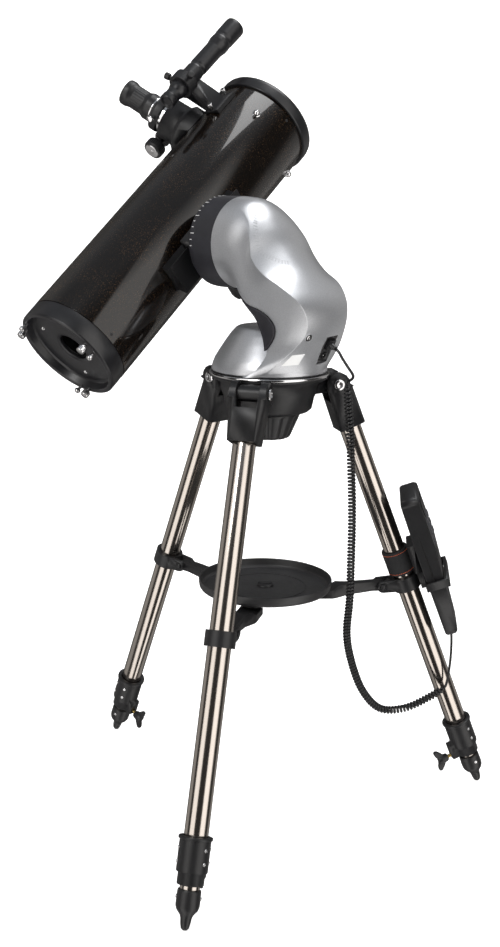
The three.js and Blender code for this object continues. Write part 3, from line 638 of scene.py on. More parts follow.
def arm_patch(name, finish, sides_and_shares, replaced, body, thickness=2.6, ends=(0.0, 12.0), rows=110, cut=None):
    """A closed shell over part of the arm's skin."""
    shape = bmesh.new()
    grid = []
    for row in range(rows + 1):
        position = ends[0] + (ends[1] - ends[0]) * row / rows
        grid.append([
            shape.verts.new(HEAD @ (arm_point(position, arm_step(position, share), side) * MM))
            for side, share in sides_and_shares
        ])
    for lower, upper in zip(grid, grid[1:]):
        for index in range(len(lower) - 1):
            shape.faces.new((lower[index], lower[index + 1], upper[index + 1], upper[index]))
    middle = sum((vert.co for vert in shape.verts), Vector()) / len(shape.verts)
    bmesh.ops.remove_doubles(shape, verts=shape.verts, dist=0.00001)
    bmesh.ops.recalc_face_normals(shape, faces=shape.faces)
    outward = sum((face.normal.dot(face.calc_center_median() - middle) for face in shape.faces))
    if outward < 0:
        bmesh.ops.reverse_faces(shape, faces=shape.faces)
    mesh = bpy.data.meshes.new(name)
    shape.to_mesh(mesh)
    shape.free()
    piece = bpy.data.objects.new(name, mesh)
    bpy.context.scene.collection.objects.link(piece)
    shell = piece.modifiers.new("Wall", "SOLIDIFY")
    shell.thickness = thickness * MM
    shell.offset = -1
    shell.use_even_offset = False
    if cut:
        for tool in cut:
            hole = piece.modifiers.new("Cut", "BOOLEAN")
            hole.object = tool
            hole.solver = "EXACT"
    edge = piece.modifiers.new("Edge", "BEVEL")
    edge.width = 0.35 * MM
    edge.segments = 2
    edge.limit_method = "ANGLE"
    edge.angle_limit = math.radians(50)
    settle(piece)
    if len(piece.data.polygons) < rows * len(sides_and_shares):
        raise ValueError(name + " lost its skin when it was cut")
    return finish_piece(piece, finish, body, replaced, 40)


def settle(piece):
    """Applies a piece's modifiers to its mesh."""
    bpy.context.view_layer.update()
    graph = bpy.context.evaluated_depsgraph_get()
    mesh = bpy.data.meshes.new_from_object(piece.evaluated_get(graph))
    piece.modifiers.clear()
    old = piece.data
    piece.data = mesh
    bpy.data.meshes.remove(old)
    mesh.name = piece.name
    return piece


def tool_from(shape, name="tool"):
    """A cutting shape, closed and facing outwards, which stays out of the scene's pieces."""
    bmesh.ops.remove_doubles(shape, verts=shape.verts, dist=0.000005)
    bmesh.ops.recalc_face_normals(shape, faces=shape.faces)
    if any(not edge.is_manifold for edge in shape.edges):
        raise ValueError("a cutting shape is open")
    mesh = bpy.data.meshes.new(name)
    shape.to_mesh(mesh)
    shape.free()
    return bpy.data.objects.new(name, mesh)


PORT = HEAD @ Matrix.Translation(Vector((-80, -13, 621)) * MM) @ Matrix.Rotation(math.radians(-27), 4, "Y")


# ---- operators ----


class TELESCOPE_OT_finishes(bpy.types.Operator):
    """Makes every finish"""

    bl_idname = "telescope.finishes"
    bl_label = "Finishes"

    def execute(self, context):
        colours = context.scene.telescope_colours
        black = tuple(colours.moulding)
        FINISHES.update({
            "moulding": plastic("moulded black", black, 0.42, 1500, 0.00006),
            "satin": plastic("satin black", (0.009, 0.009, 0.0105), 0.33, 900, 0.00002),
            "drum": plastic("drum charcoal", (0.016, 0.016, 0.0205), 0.45, 1400, 0.00005),
            "panel": plastic("inner panel", (0.015, 0.0145, 0.019), 0.5, 1400, 0.00005),
            "lug": plastic("lug grey", (0.16, 0.155, 0.19), 0.34, 900, 0.00003),
            "tray": plastic("tray floor", (0.020, 0.020, 0.021), 0.46, 1300, 0.00008),
            "key": plastic("key rubber", (0.05, 0.05, 0.055), 0.6, 900, 0.00004),
            "label": plastic("blank label", (0.75, 0.75, 0.74), 0.5, 500, 0.00001, 0.03),
            "mark": plastic("printed mark", (0.78, 0.78, 0.78), 0.5, 500, 0.00001, 0.03),
            "engraving": plastic("engraving", (0.42, 0.43, 0.45), 0.55, 500, 0.00002, 0.05),
            "cord": plastic("cord sheath", (0.012, 0.012, 0.013), 0.28, 700, 0.00003),
            "stitch": plastic("stitching", tuple(colours.stitch), 0.7, 2000, 0.0001),
            # Near-black: the dark joint of the handset seam, and painted shade on the floor of the screw recess.
            "seam_and_recess_shade": plastic("dark hollow", (0.004, 0.004, 0.004), 0.8, 900, 0.00002),
            "shell": silver_paint(tuple(colours.shell)),
            "tube": flake_paint(tuple(colours.tube), tuple(colours.flake)),
            "leg": metal("leg steel", tuple(colours.leg), 0.16),
            "bright": metal("bright plate", (0.70, 0.70, 0.71), 0.13, "Object", (40, 40, 40), 0.06),
            "brass": metal("turned brass", (0.62, 0.45, 0.16), 0.25, "Object", (40, 40, 40)),
            "mirror": metal("silvered glass", (0.90, 0.92, 0.93), 0.02, "Object", (5, 5, 5), 0.01, 0.000001),
            "webbing": woven("strap webbing", (0.012, 0.012, 0.013)),
        })
        return {"FINISHED"}


# Each stop of the studio's wall: its bearing in degrees, counted from the front towards the right, and how
# bright it is.
STUDIO_PANELS = (
    (-180, 0.08), (-150, 0.10), (-118, 0.42), (-96, 0.42), (-84, 0.04), (-66, 0.04), (-62, 1.7), (-26, 1.7),
    (-22, 0.04), (27, 0.04), (31, 1.9), (68, 1.9), (78, 0.05), (106, 0.05), (118, 0.36), (146, 0.36), (156, 0.08),
    (180, 0.08),
)


class TELESCOPE_OT_stage(bpy.types.Operator):
    """Sets the floor, the backdrop, the lights and the camera"""

    bl_idname = "telescope.stage"
    bl_label = "Stage"

    def execute(self, context):
        scene = context.scene
        self.camera(scene)
        self.floor()
        world = scene.world or bpy.data.worlds.new("Studio")
        scene.world = world
        scene.view_settings.view_transform = "Standard"
        self.studio(world)
        self.area("Key", (-1.3, -2.0, 2.6), (0.0, 0.1, 0.6), 0.8, 0.8, 24)
        self.area("Top", (0.6, 0.5, 2.6), (0.0, 0.1, 0.6), 1.0, 1.0, 18)
        return {"FINISHED"}

    def studio(self, world):
        """A dim room with tall soft panels round it and a pale ceiling."""
        world.use_nodes = True
        tree = world.node_tree
        add, link = tree.nodes.new, tree.links.new
        texture, parts = add("ShaderNodeTexCoord"), add("ShaderNodeSeparateXYZ")
        back, turn = add("ShaderNodeMath"), add("ShaderNodeMath")
        back.operation, turn.operation = "MULTIPLY", "ARCTAN2"
        back.inputs[1].default_value = -1.0
        link(texture.outputs["Generated"], parts.inputs["Vector"])
        link(parts.outputs["Y"], back.inputs[0])
        link(parts.outputs["X"], turn.inputs[0])
        link(back.outputs["Value"], turn.inputs[1])
        share, panels, height, ceiling = (
            add("ShaderNodeMapRange"), add("ShaderNodeValToRGB"), add("ShaderNodeMapRange"), add("ShaderNodeMix"),
        )
        share.inputs["From Min"].default_value = -math.pi
        share.inputs["From Max"].default_value = math.pi
        link(turn.outputs["Value"], share.inputs["Value"])
        stops = panels.color_ramp.elements
        while len(stops) < len(STUDIO_PANELS):
            stops.new(0.5)
        for stop, (degrees, level) in zip(stops, STUDIO_PANELS):
            stop.position = (degrees + 180) / 360
            stop.color = (level, level * 0.97, level * 0.94, 1)
        link(share.outputs["Result"], panels.inputs["Fac"])
        height.inputs["From Min"].default_value = 0.55
        height.inputs["From Max"].default_value = 0.85
        link(parts.outputs["Z"], height.inputs["Value"])
        ceiling.data_type = "RGBA"
        ceiling.inputs[7].default_value = (0.34, 0.355, 0.38, 1)
        link(height.outputs["Result"], ceiling.inputs[0])
        link(panels.outputs["Color"], ceiling.inputs[6])
        link(ceiling.outputs[2], tree.nodes["Background"].inputs["Color"])

    def camera(self, scene):
        data = bpy.data.cameras.new("Camera")
        data.sensor_width = 36.0
        data.lens = 48.49
        data.clip_start = 0.05
        camera = bpy.data.objects.new("Camera", data)
        scene.collection.objects.link(camera)
        pitch, yaw, roll = math.radians(13.205), math.radians(-0.801), math.radians(0.996)
        forward = Vector((math.sin(yaw) * math.cos(pitch), math.cos(yaw) * math.cos(pitch), -math.sin(pitch)))
        right = forward.cross(UP).normalized()
        upward = right.cross(forward)
        level = right * math.cos(roll) + upward * math.sin(roll)
        rise = upward * math.cos(roll) - right * math.sin(roll)
        camera.matrix_world = frame_of(ORIGIN + Vector((0, -1.5752, 0.8243)), level, rise, -forward)
        scene.camera = camera

    def floor(self):
        shape = bmesh.new()
        profile = [(-6.0, 0.0), (2.2, 0.0)]
        profile += [(2.2 + 1.2 * math.sin(a), 1.2 - 1.2 * math.cos(a)) for a in (0.3, 0.6, 0.9, 1.2, math.pi / 2)]
        profile += [(3.4, 6.0)]
        rows = [[shape.verts.new((x, y, z)) for x in (-7, 7)] for y, z in profile]
        for low, high in zip(rows, rows[1:]):
            shape.faces.new((low[0], low[1], high[1], high[0]))
        mesh = bpy.data.meshes.new("floor")
        shape.to_mesh(mesh)
        shape.free()
        mesh.shade_smooth()
        floor = bpy.data.objects.new("floor", mesh)
        bpy.context.scene.collection.objects.link(floor)
        nodes = Nodes("pale floor")
        nodes.set(
            Base_Color=(0.9, 0.9, 0.9, 1), Roughness=0.9, Specular_IOR_Level=0.1,
            Emission_Color=(1, 1, 1, 1), Emission_Strength=0.72,
        )
        floor.visible_glossy = False
        mesh.materials.append(nodes.material)

    def area(self, name, spot, target, width, height, power):
        data = bpy.data.lights.new(name, "AREA")
        data.shape = "RECTANGLE"
        data.size = width
        data.size_y = height
        data.energy = power
        lamp = bpy.data.objects.new(name, data)
        bpy.context.scene.collection.objects.link(lamp)
        lamp.location = spot
        lamp.rotation_euler = (Vector(target) - Vector(spot)).to_track_quat("-Z", "Y").to_euler()


LEAD_TOP = (
    (78.6, -54.6, 622.4), (82, -57.7, 619.8), (87, -60, 611.5), (94, -56, 601), (101, -43, 590),
    (101.5, -31, 583.5), (97.5, -24.5, 579),
)
CURL = (
    (96, -22, 573), (98.5, -23, 545), (101.1, -24, 518), (104, -25, 474), (106.6, -26, 429),
    (107.8, -25, 390), (108.2, -24, 350), (108.5, -20, 296), (107, -12, 248), (114.7, 0, 206),
    (131.6, 12, 160), (157.8, 26, 128), (192.5, 36, 125), (225, 40, 140), (244.5, 42.6, 152),
)
LEAD_BOTTOM = (
    (247, 43.2, 155.3), (250, 46, 170), (252.3, 49, 192), (252.8, 52, 215), (251.7, 54, 234.1),
)


def along_path(points, spacing):
    """Evenly spaced points, in metres, on a smooth curve through the given ones."""
    raw = [[point[axis] * MM for point in points] for axis in range(3)]
    fine = []
    count = (len(points) - 1) * 60
    for step in range(count + 1):
        position = step / 60
        fine.append(Vector([flowing(column, position) for column in raw]))
    total = sum((b - a).length for a, b in zip(fine, fine[1:]))
    wanted = max(2, round(total / spacing))
    result, walked, target = [fine[0]], 0.0, total / wanted
    for a, b in zip(fine, fine[1:]):
        length = (b - a).length
        while walked + length >= target - 1e-9 and len(result) < wanted:
            result.append(a.lerp(b, (target - walked) / length))
            target += total / wanted
        walked += length
    result.append(fine[-1])
    return [MOUNT @ point for point in result]


def spaced(points, least):
    """The points without those that lie closer than the least step to the one before them."""
    kept = [points[0]]
    for point in points[1:]:
        if (point - kept[-1]).length >= least:
            kept.append(point)
    return kept


def coiled(points, radius, pitch):
    """A helix round a path of close points."""
    result = []
    tangent = (points[1] - points[0]).normalized()
    side = tangent.orthogonal().normalized()
    walked = 0.0
    total = sum((b - a).length for a, b in zip(points, points[1:]))
    for index, point in enumerate(points):
        ahead = points[min(index + 1, len(points) - 1)] - points[max(index - 1, 0)]
        tangent = ahead.normalized()
        side = (side - tangent * side.dot(tangent)).normalized()
        across = tangent.cross(side)
        if index:
            walked += (point - points[index - 1]).length
        swell = min(1.0, walked / (pitch * 1.5), (total - walked) / (pitch * 1.5))
        angle = math.tau * walked / pitch
        result.append(point + (side * math.cos(angle) + across * math.sin(angle)) * radius * max(0.02, swell))
    return result


def cord_tube(name, points, diameter, finish, sides=10):
    """A round cord along close points, as a closed mesh tube."""
    shape = bmesh.new()
    wrap = shape.loops.layers.uv.new("wrap")
    side = (points[1] - points[0]).orthogonal().normalized()
    rings, walked, heights = [], 0.0, []
    for index, point in enumerate(points):
        ahead = (points[min(index + 1, len(points) - 1)] - points[max(index - 1, 0)]).normalized()
        side = (side - ahead * side.dot(ahead)).normalized()
        across = ahead.cross(side)
        if index:
            walked += (point - points[index - 1]).length
        heights.append(walked)
        rings.append([
            shape.verts.new(point + (side * math.cos(a) + across * math.sin(a)) * diameter / 2)
            for a in (math.tau * n / sides for n in range(sides))
        ])
    for index, (lower, upper) in enumerate(zip(rings, rings[1:])):
        for n in range(sides):
            face = shape.faces.new((lower[n], lower[(n + 1) % sides], upper[(n + 1) % sides], upper[n]))
            for loop, u, v in zip(face.loops, (n, n + 1, n + 1, n), (0, 0, 1, 1)):
                loop[wrap].uv = (u / sides, heights[index + v])
    shape.faces.new(list(reversed(rings[0])))
    shape.faces.new(rings[-1])
    mesh = bpy.data.meshes.new(name)
    shape.to_mesh(mesh)
    shape.free()
    mesh.shade_smooth()
    mesh.materials.append(FINISHES[finish])
    piece = bpy.data.objects.new(name, mesh)
    bpy.context.scene.collection.objects.link(piece)
    return piece


def length_of(points):
    return sum((b - a).length for a, b in zip(points, points[1:]))


class TELESCOPE_OT_cords(bpy.types.Operator):
    """Makes the hand controller's cord: a straight lead from the plug, the curl and the lead below it"""

    bl_idname = "telescope.cords"
    bl_label = "Cords"

    def execute(self, context):
        sizes = context.scene.telescope_sizes
        thick = sizes.cord_diameter
        lead = along_path(LEAD_TOP + (CURL[0],), 0.0035)
        top = cord_tube("plug_lead", lead, thick, "cord")
        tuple(lead[0])
        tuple(lead[-1])
        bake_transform(top)
        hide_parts("cord_lead_top")
        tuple(lead[0])
        length_of(lead)
        core = along_path(CURL, sizes.curl_pitch / 14)
        curl = coiled(core, (sizes.curl_diameter - thick) / 2, sizes.curl_pitch)
        tail = along_path((CURL[-1],) + LEAD_BOTTOM, 0.005)[1:]
        path = spaced(curl + tail, 0.0002)
        cord = cord_tube("curly_cord", path, thick, "cord", 8)
        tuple(path[0])
        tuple(path[-1])
        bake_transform(cord)
        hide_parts("cord_curl", "cord_lead_bottom")
        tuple(path[0])
        length_of(path)
        return {"FINISHED"}


class TELESCOPE_OT_mount(bpy.types.Operator):
    """Makes the mount head: base, arm, inner panel, sockets and drum"""

    bl_idname = "telescope.mount"
    bl_label = "Mount head"

    def execute(self, context):
        self.base()
        self.arm()
        self.dial()
        self.ports()
        self.drum()
        refined("saddle_clamp", "moulding", 1.2)
        refined("dovetail_bar", "moulding", 0.6)
        self.saddle_knob()
        repaint("azimuth_gear", "brass")
        repaint("altitude_motor", "bright")
        return {"FINISHED"}

    def base(self):
        skin = [
            (0, 588.2), (71.2, 588.2), (72.2, 589.6), (71.2, 596), (68, 604), (62.5, 613), (55.5, 624),
            (48.5, 634), (42, 641.2), (38, 643), (0, 643.6),
        ]
        shape = turned(skin, HEAD, 96, 1.6)
        piece = piece_from(shape, "base housing", "shell", "azimuth_head", ("base_housing",), 40)
        rim = turned(
            [(70.4, 587.4), (72.6, 587.4), (72.6, 588.3), (70.4, 588.3)], HEAD, 96, 0.2, closed=True
        )
        piece_from(rim, "base rim", "satin", "azimuth_head")
        return piece

    def arm(self):
        """The silver shell round the arm's back and sides, the dark panel inside it and a screw recess."""
        port = bmesh.new()
        block(-10, 8, -11, 11, -19, 19, PORT, 0, 1, port)
        window = tool_from(port)
        half = [n / 26 * 0.96 * CREASE_SHARE for n in range(26)] + [0.975 * CREASE_SHARE, CREASE_SHARE]
        half += [CREASE_SHARE + (1 - CREASE_SHARE) * n / 30 for n in [0.6] + list(range(1, 31))]
        silver = [(1, share) for share in reversed(half)] + [(-1, share) for share in half[1:]]
        shells = ("arm_shell_left", "arm_shell_right")
        arm_patch("arm shell", "shell", silver, shells, "azimuth_head", cut=[window])
        inner = [1.004 + 0.996 * n / 24 for n in range(25)]
        across = [(1, share) for share in inner] + [(-1, share) for share in reversed(inner[:-1])]
        arm_patch("arm inner panel", "panel", across, ("arm_inner_panel",), "azimuth_head", 2.2, (0.12, 11.95))
        well = self.on_side(9.1, 1.6, 1)
        lip = turned([(4.5, -1.2), (5.7, -1.2), (5.5, 0.6), (5.0, 0.9), (4.6, 0.6)], well, 40, 0.2, closed=True)
        piece_from(lip, "recess lip", "shell", "azimuth_head")
        # The recess floor is painted near-black: painted shade inside the screw recess.
        floor = turned([(0, -1.0), (4.7, -1.0), (4.7, 0.35), (0, 0.35)], well, 32, 0)
        piece_from(floor, "recess floor", "seam_and_recess_shade", "azimuth_head")
        screw = turned(
            [(0, 0.1), (3.1, 0.1), (3.1, 0.7), (2.2, 1.0), (1.0, 1.0), (0.6, 0.5), (0, 0.5)], well, 24, 0.2
        )
        piece_from(screw, "recess screw", "bright", "azimuth_head")
        self.label()

    def on_side(self, position, step, side, lift=0.0):
        """A frame on the arm's skin, +Z outwards and +X down the arm."""
        here = arm_point(position, step, side)
        down = (arm_point(position + 0.1, step, side) - here).normalized()
        around = (arm_point(position, step + 0.1, side) - here).normalized()
        out = down.cross(around).normalized()
        centre = Vector((0, 0, 0)) + arm_point(position, 0, side) * 0.5 + arm_point(position, 9, side) * 0.5
        if out.dot(here - centre) < 0:
            out = -out
        across = out.cross(down).normalized()
        matrix = Matrix((down, across, out)).transposed().to_4x4()
        matrix.translation = (here + out * lift) * MM
        return HEAD @ matrix

    def label(self):
        """A blank paper label low on the arm."""
        shape = bmesh.new()
        rows = 8
        grid = []
        for row in range(rows + 1):
            position = 10.2 + 0.75 * row / rows
            grid.append([])
            for column in range(9):
                step = 1.0 + (0.75 * column / 8)
                here = self.on_side(position, step, 1, 0.16)
                grid[-1].append(shape.verts.new(here.translation))
        for lower, upper in zip(grid, grid[1:]):
            for index in range(8):
                shape.faces.new((lower[index], lower[index + 1], upper[index + 1], upper[index]))
        mesh = bpy.data.meshes.new("blank label")
        shape.to_mesh(mesh)
        shape.free()
        piece = bpy.data.objects.new("blank label", mesh)
        bpy.context.scene.collection.objects.link(piece)
        wall = piece.modifiers.new("Wall", "SOLIDIFY")
        wall.thickness = 0.12 * MM
        wall.offset = 0
        settle(piece)
        finish_piece(piece, "label", "azimuth_head")

    def dial(self):
        """An arc of plain index marks inside the crease on one side of the arm's head."""
        fine = 20
        line = [Vector(arm_station(number / fine)[:2]) for number in range(8 * fine + 1)]
        walked = [0.0]
        for low, high in zip(line, line[1:]):
            walked.append(walked[-1] + (high - low).length)
        centre, radius = 83.0, 46.0
        places = []
        for number in range(27):
            angle = math.radians(28 + number * 4.9)
            down, out = -math.cos(angle), math.sin(angle)
            position = next(n for n, distance in enumerate(walked) if distance >= centre + radius * down) / fine
            step = 2 * radius * out / arm_station(position)[4]
            skin = self.on_side(position, step, 1, 0.03)
            across = 1 if (HEAD.inverted() @ skin).col[1].y > 0 else -1
            places.append(spot(skin, 0, 0, 0, (0, 0, 1), (down, out * across, 0)))
        set_out("dial marks", tick_mark(5.2, 1.1, 0.22), places, "engraving", "azimuth_head")

    def ports(self):
        refined("port_panel", "satin", 0.5, "port panel")
        repaint("handset_plug", "cord")
        ring = turned([(2.6, -0.2), (4.1, -0.2), (4.1, 1.1), (2.6, 1.1)], PORT @ at(0, 0, -9)
                      @ Matrix.Rotation(math.radians(-90), 4, "Y"), 28, 0.3, closed=True)
        piece_from(ring, "power socket ring", "moulding", "azimuth_head")
        pin = turned([(0, -5), (0.9, -5), (0.9, 0.4), (0, 0.7)], PORT @ at(0, 0, -9)
                     @ Matrix.Rotation(math.radians(-90), 4, "Y"), 16, 0.2)
        piece_from(pin, "power socket pin", "bright", "azimuth_head")

    def drum(self):
        skin = [
            (0, 14), (8, 14), (8, 26), (50, 26), (50, 47.2), (56.0, 47.2), (56.6, 49.6), (56.6, 80), (55.9, 87),
            (53.5, 90.4), (50, 91), (0, 91),
        ]
        turn = frame_of(joint_point("altitude"), UP, ACROSS.cross(UP), ACROSS)
        shape = turned(skin, turn, 96, 0.6)
        piece_from(shape, "altitude drum", "drum", "tube_body", ("altitude_drum",), 30)
        places = []
        for number in range(46):
            angle = math.tau * number / 46
            out = (math.cos(angle), math.sin(angle), 0)
            longer = number % 3 == 0
            if (turn.to_3x3() @ Vector(out)).z < -0.1:
                continue
            place = spot(turn, 56.55 * out[0], 56.55 * out[1], 83 if longer else 84.2, out, (0, 0, 1))
            places.append((longer, place))
        major = [place for longer, place in places if longer]
        minor = [place for longer, place in places if not longer]
        set_out("scale marks long", tick_mark(6.0, 0.8, 0.12), major, "mark", "tube_body")
        set_out("scale marks short", tick_mark(3.2, 0.7, 0.12), minor, "mark", "tube_body")

    def saddle_knob(self):
        place = OPTICS @ at(103 - 189.2, 0, 0) @ Matrix.Rotation(math.radians(90), 4, "X")

        def lobes(angle, radius, height):
            if radius < 9 or height < 62:
                return 1
            return 1 - 0.05 * (0.5 + 0.5 * math.cos(angle * 10)) ** 2

        shape = turned(
            [(0, 22.8), (3, 22.8), (3, 61), (8, 61), (12.5, 66), (14, 72), (13.8, 84), (11.5, 91), (0, 92.5)],
            place, 80, 0.8, ripple=lobes,
        )
        piece_from(shape, "saddle knob", "moulding", "saddle_screw", ("saddle_knob",), 38)


class TELESCOPE_OT_tube(bpy.types.Operator):
    """Makes the optical tube with its rings, mirrors, spider and screws"""

    bl_idname = "telescope.tube"
    bl_label = "Optical tube"

    def execute(self, context):
        self.main_tube()
        front = [
            (65.2, 209), (68.8, 209), (68.8, 227.1), (72.3, 227.1), (72.7, 228.5), (72.7, 240.5), (72.0, 243.8),
            (70.2, 246.0), (68.0, 246.6), (66.0, 245.6), (65.2, 243.0),
        ]
        ring = turned(front, OPTICS, 128, 0.5, closed=True)
        piece_from(ring, "front ring", "satin", "tube_body", ("front_ring",), 34)
        rear = [
            (20, -206), (24, -207.6), (57, -207.6), (60.2, -209.5), (62.4, -218), (64, -219.4), (67.6, -219.4),
            (69.6, -217.4), (69.9, -206), (69.6, -195.4), (68.7, -195.2), (68.7, -183), (66.5, -183), (66.5, -200),
            (56, -200), (56, -177.4), (50, -177.4), (50, -200), (22, -200), (20, -202),
        ]
        cell = turned(rear, OPTICS, 128, 0.5, closed=True)
        piece_from(cell, "rear ring", "satin", "tube_body", ("rear_ring",), 34)
        mirror = turned(
            [
                (0, -177), (56.4, -177), (57, -176.4), (57, -165.6), (56.4, -165), (40, -166.4), (20, -167.5),
                (0, -168),
            ],
            OPTICS, 96, 0,
        )
        piece_from(mirror, "primary mirror", "mirror", "tube_body", ("primary_mirror",))
        refined("secondary_holder", "moulding", 0.25)
        refined("secondary_mirror", "mirror", 0.2)
        self.screws()
        return {"FINISHED"}

    def main_tube(self):
        wall = [(69, -194.7), (70, -194.7), (70, 226.9), (69, 226.9)]
        shape = turned(wall, OPTICS, 160, 0.15, closed=True)
        hole = turned([(0, 30), (23.5, 30), (23.5, 110), (0, 110)], FOCUSER @ ALONG_X, 64, 0)
        cutter = tool_from(hole)
        mesh = bpy.data.meshes.new("main tube")
        shape.to_mesh(mesh)
        shape.free()
        piece = bpy.data.objects.new("main tube", mesh)
        bpy.context.scene.collection.objects.link(piece)
        opening = piece.modifiers.new("Opening", "BOOLEAN")
        opening.object = cutter
        opening.solver = "EXACT"
        settle(piece)
        finish_piece(piece, "tube", "tube_body", ("main_tube",), 34)

    def screws(self):
        """Collimation screws on the cell, dome nuts on the spider, and small screws round the rings."""
        def around(angle, radius, height, facing=None):
            a = math.radians(angle)
            out = (math.cos(a), math.sin(a), 0)
            return spot(OPTICS, radius * out[0], radius * out[1], height, facing or out)

        push, lock = [], []
        for angle in (162, 282, 42):
            push.append(around(angle - 6.5, 63.0, -219.2, (0, 0, -1)))
            lock.append(around(angle + 6.5, 63.0, -219.2, (0, 0, -1)))
        knob = fitting("collimation knob", lambda shape: turned(
            [(0, -1), (2.2, -1), (2.2, 4), (4.9, 4.4), (5.4, 5.4), (5.4, 11), (4.6, 12.2), (0, 12.6)],
            Matrix.Identity(4), 40, 0.3, target=shape,
            ripple=lambda angle, radius, height: 1 - 0.05 * (0.5 + 0.5 * math.cos(angle * 16)) if radius > 5 else 1,
        ))
        set_out("collimation knobs", knob, push, "bright", "tube_body")
        bolt = fitting("lock bolt", lambda shape: turned(
            [
                (0, -1), (1.9, -1), (1.9, 5.5), (3.4, 5.8), (3.9, 6.6), (3.9, 9.4), (2.9, 10.6), (1.3, 10.6),
                (0.9, 9.2), (0, 9.2),
            ],
            Matrix.Identity(4), 28, 0.25, target=shape,
        ))
        set_out("lock bolts", bolt, lock, "bright", "tube_body")
        dome = fitting("dome nut", lambda shape: turned(
            [(0, -0.5), (5.6, -0.5), (5.6, 0.8), (4.4, 1.0), (4.2, 3.4), (3.0, 5.4), (1.3, 6.4), (0, 6.6)],
            Matrix.Identity(4), 28, 0.35, target=shape,
        ))
        set_out("dome nuts", dome, [around(a, 70.0, 192) for a in (45, 135, 225, 315)], "bright", "tube_body")
        small = pan_screw(1.9, 1.2)
        rim = [around(a, 70.0, 218) for a in (165, 285)] + [around(a, 70.0, -188) for a in (168, 288, 48)]
        set_out("ring screws", small, rim, "satin", "tube_body")
        cells = [around(a, 45.0, -207.4, (0, 0, -1)) for a in (162, 282, 42)]
        set_out("cell screws", pan_screw(3.0, 1.6), cells, "bright", "tube_body")


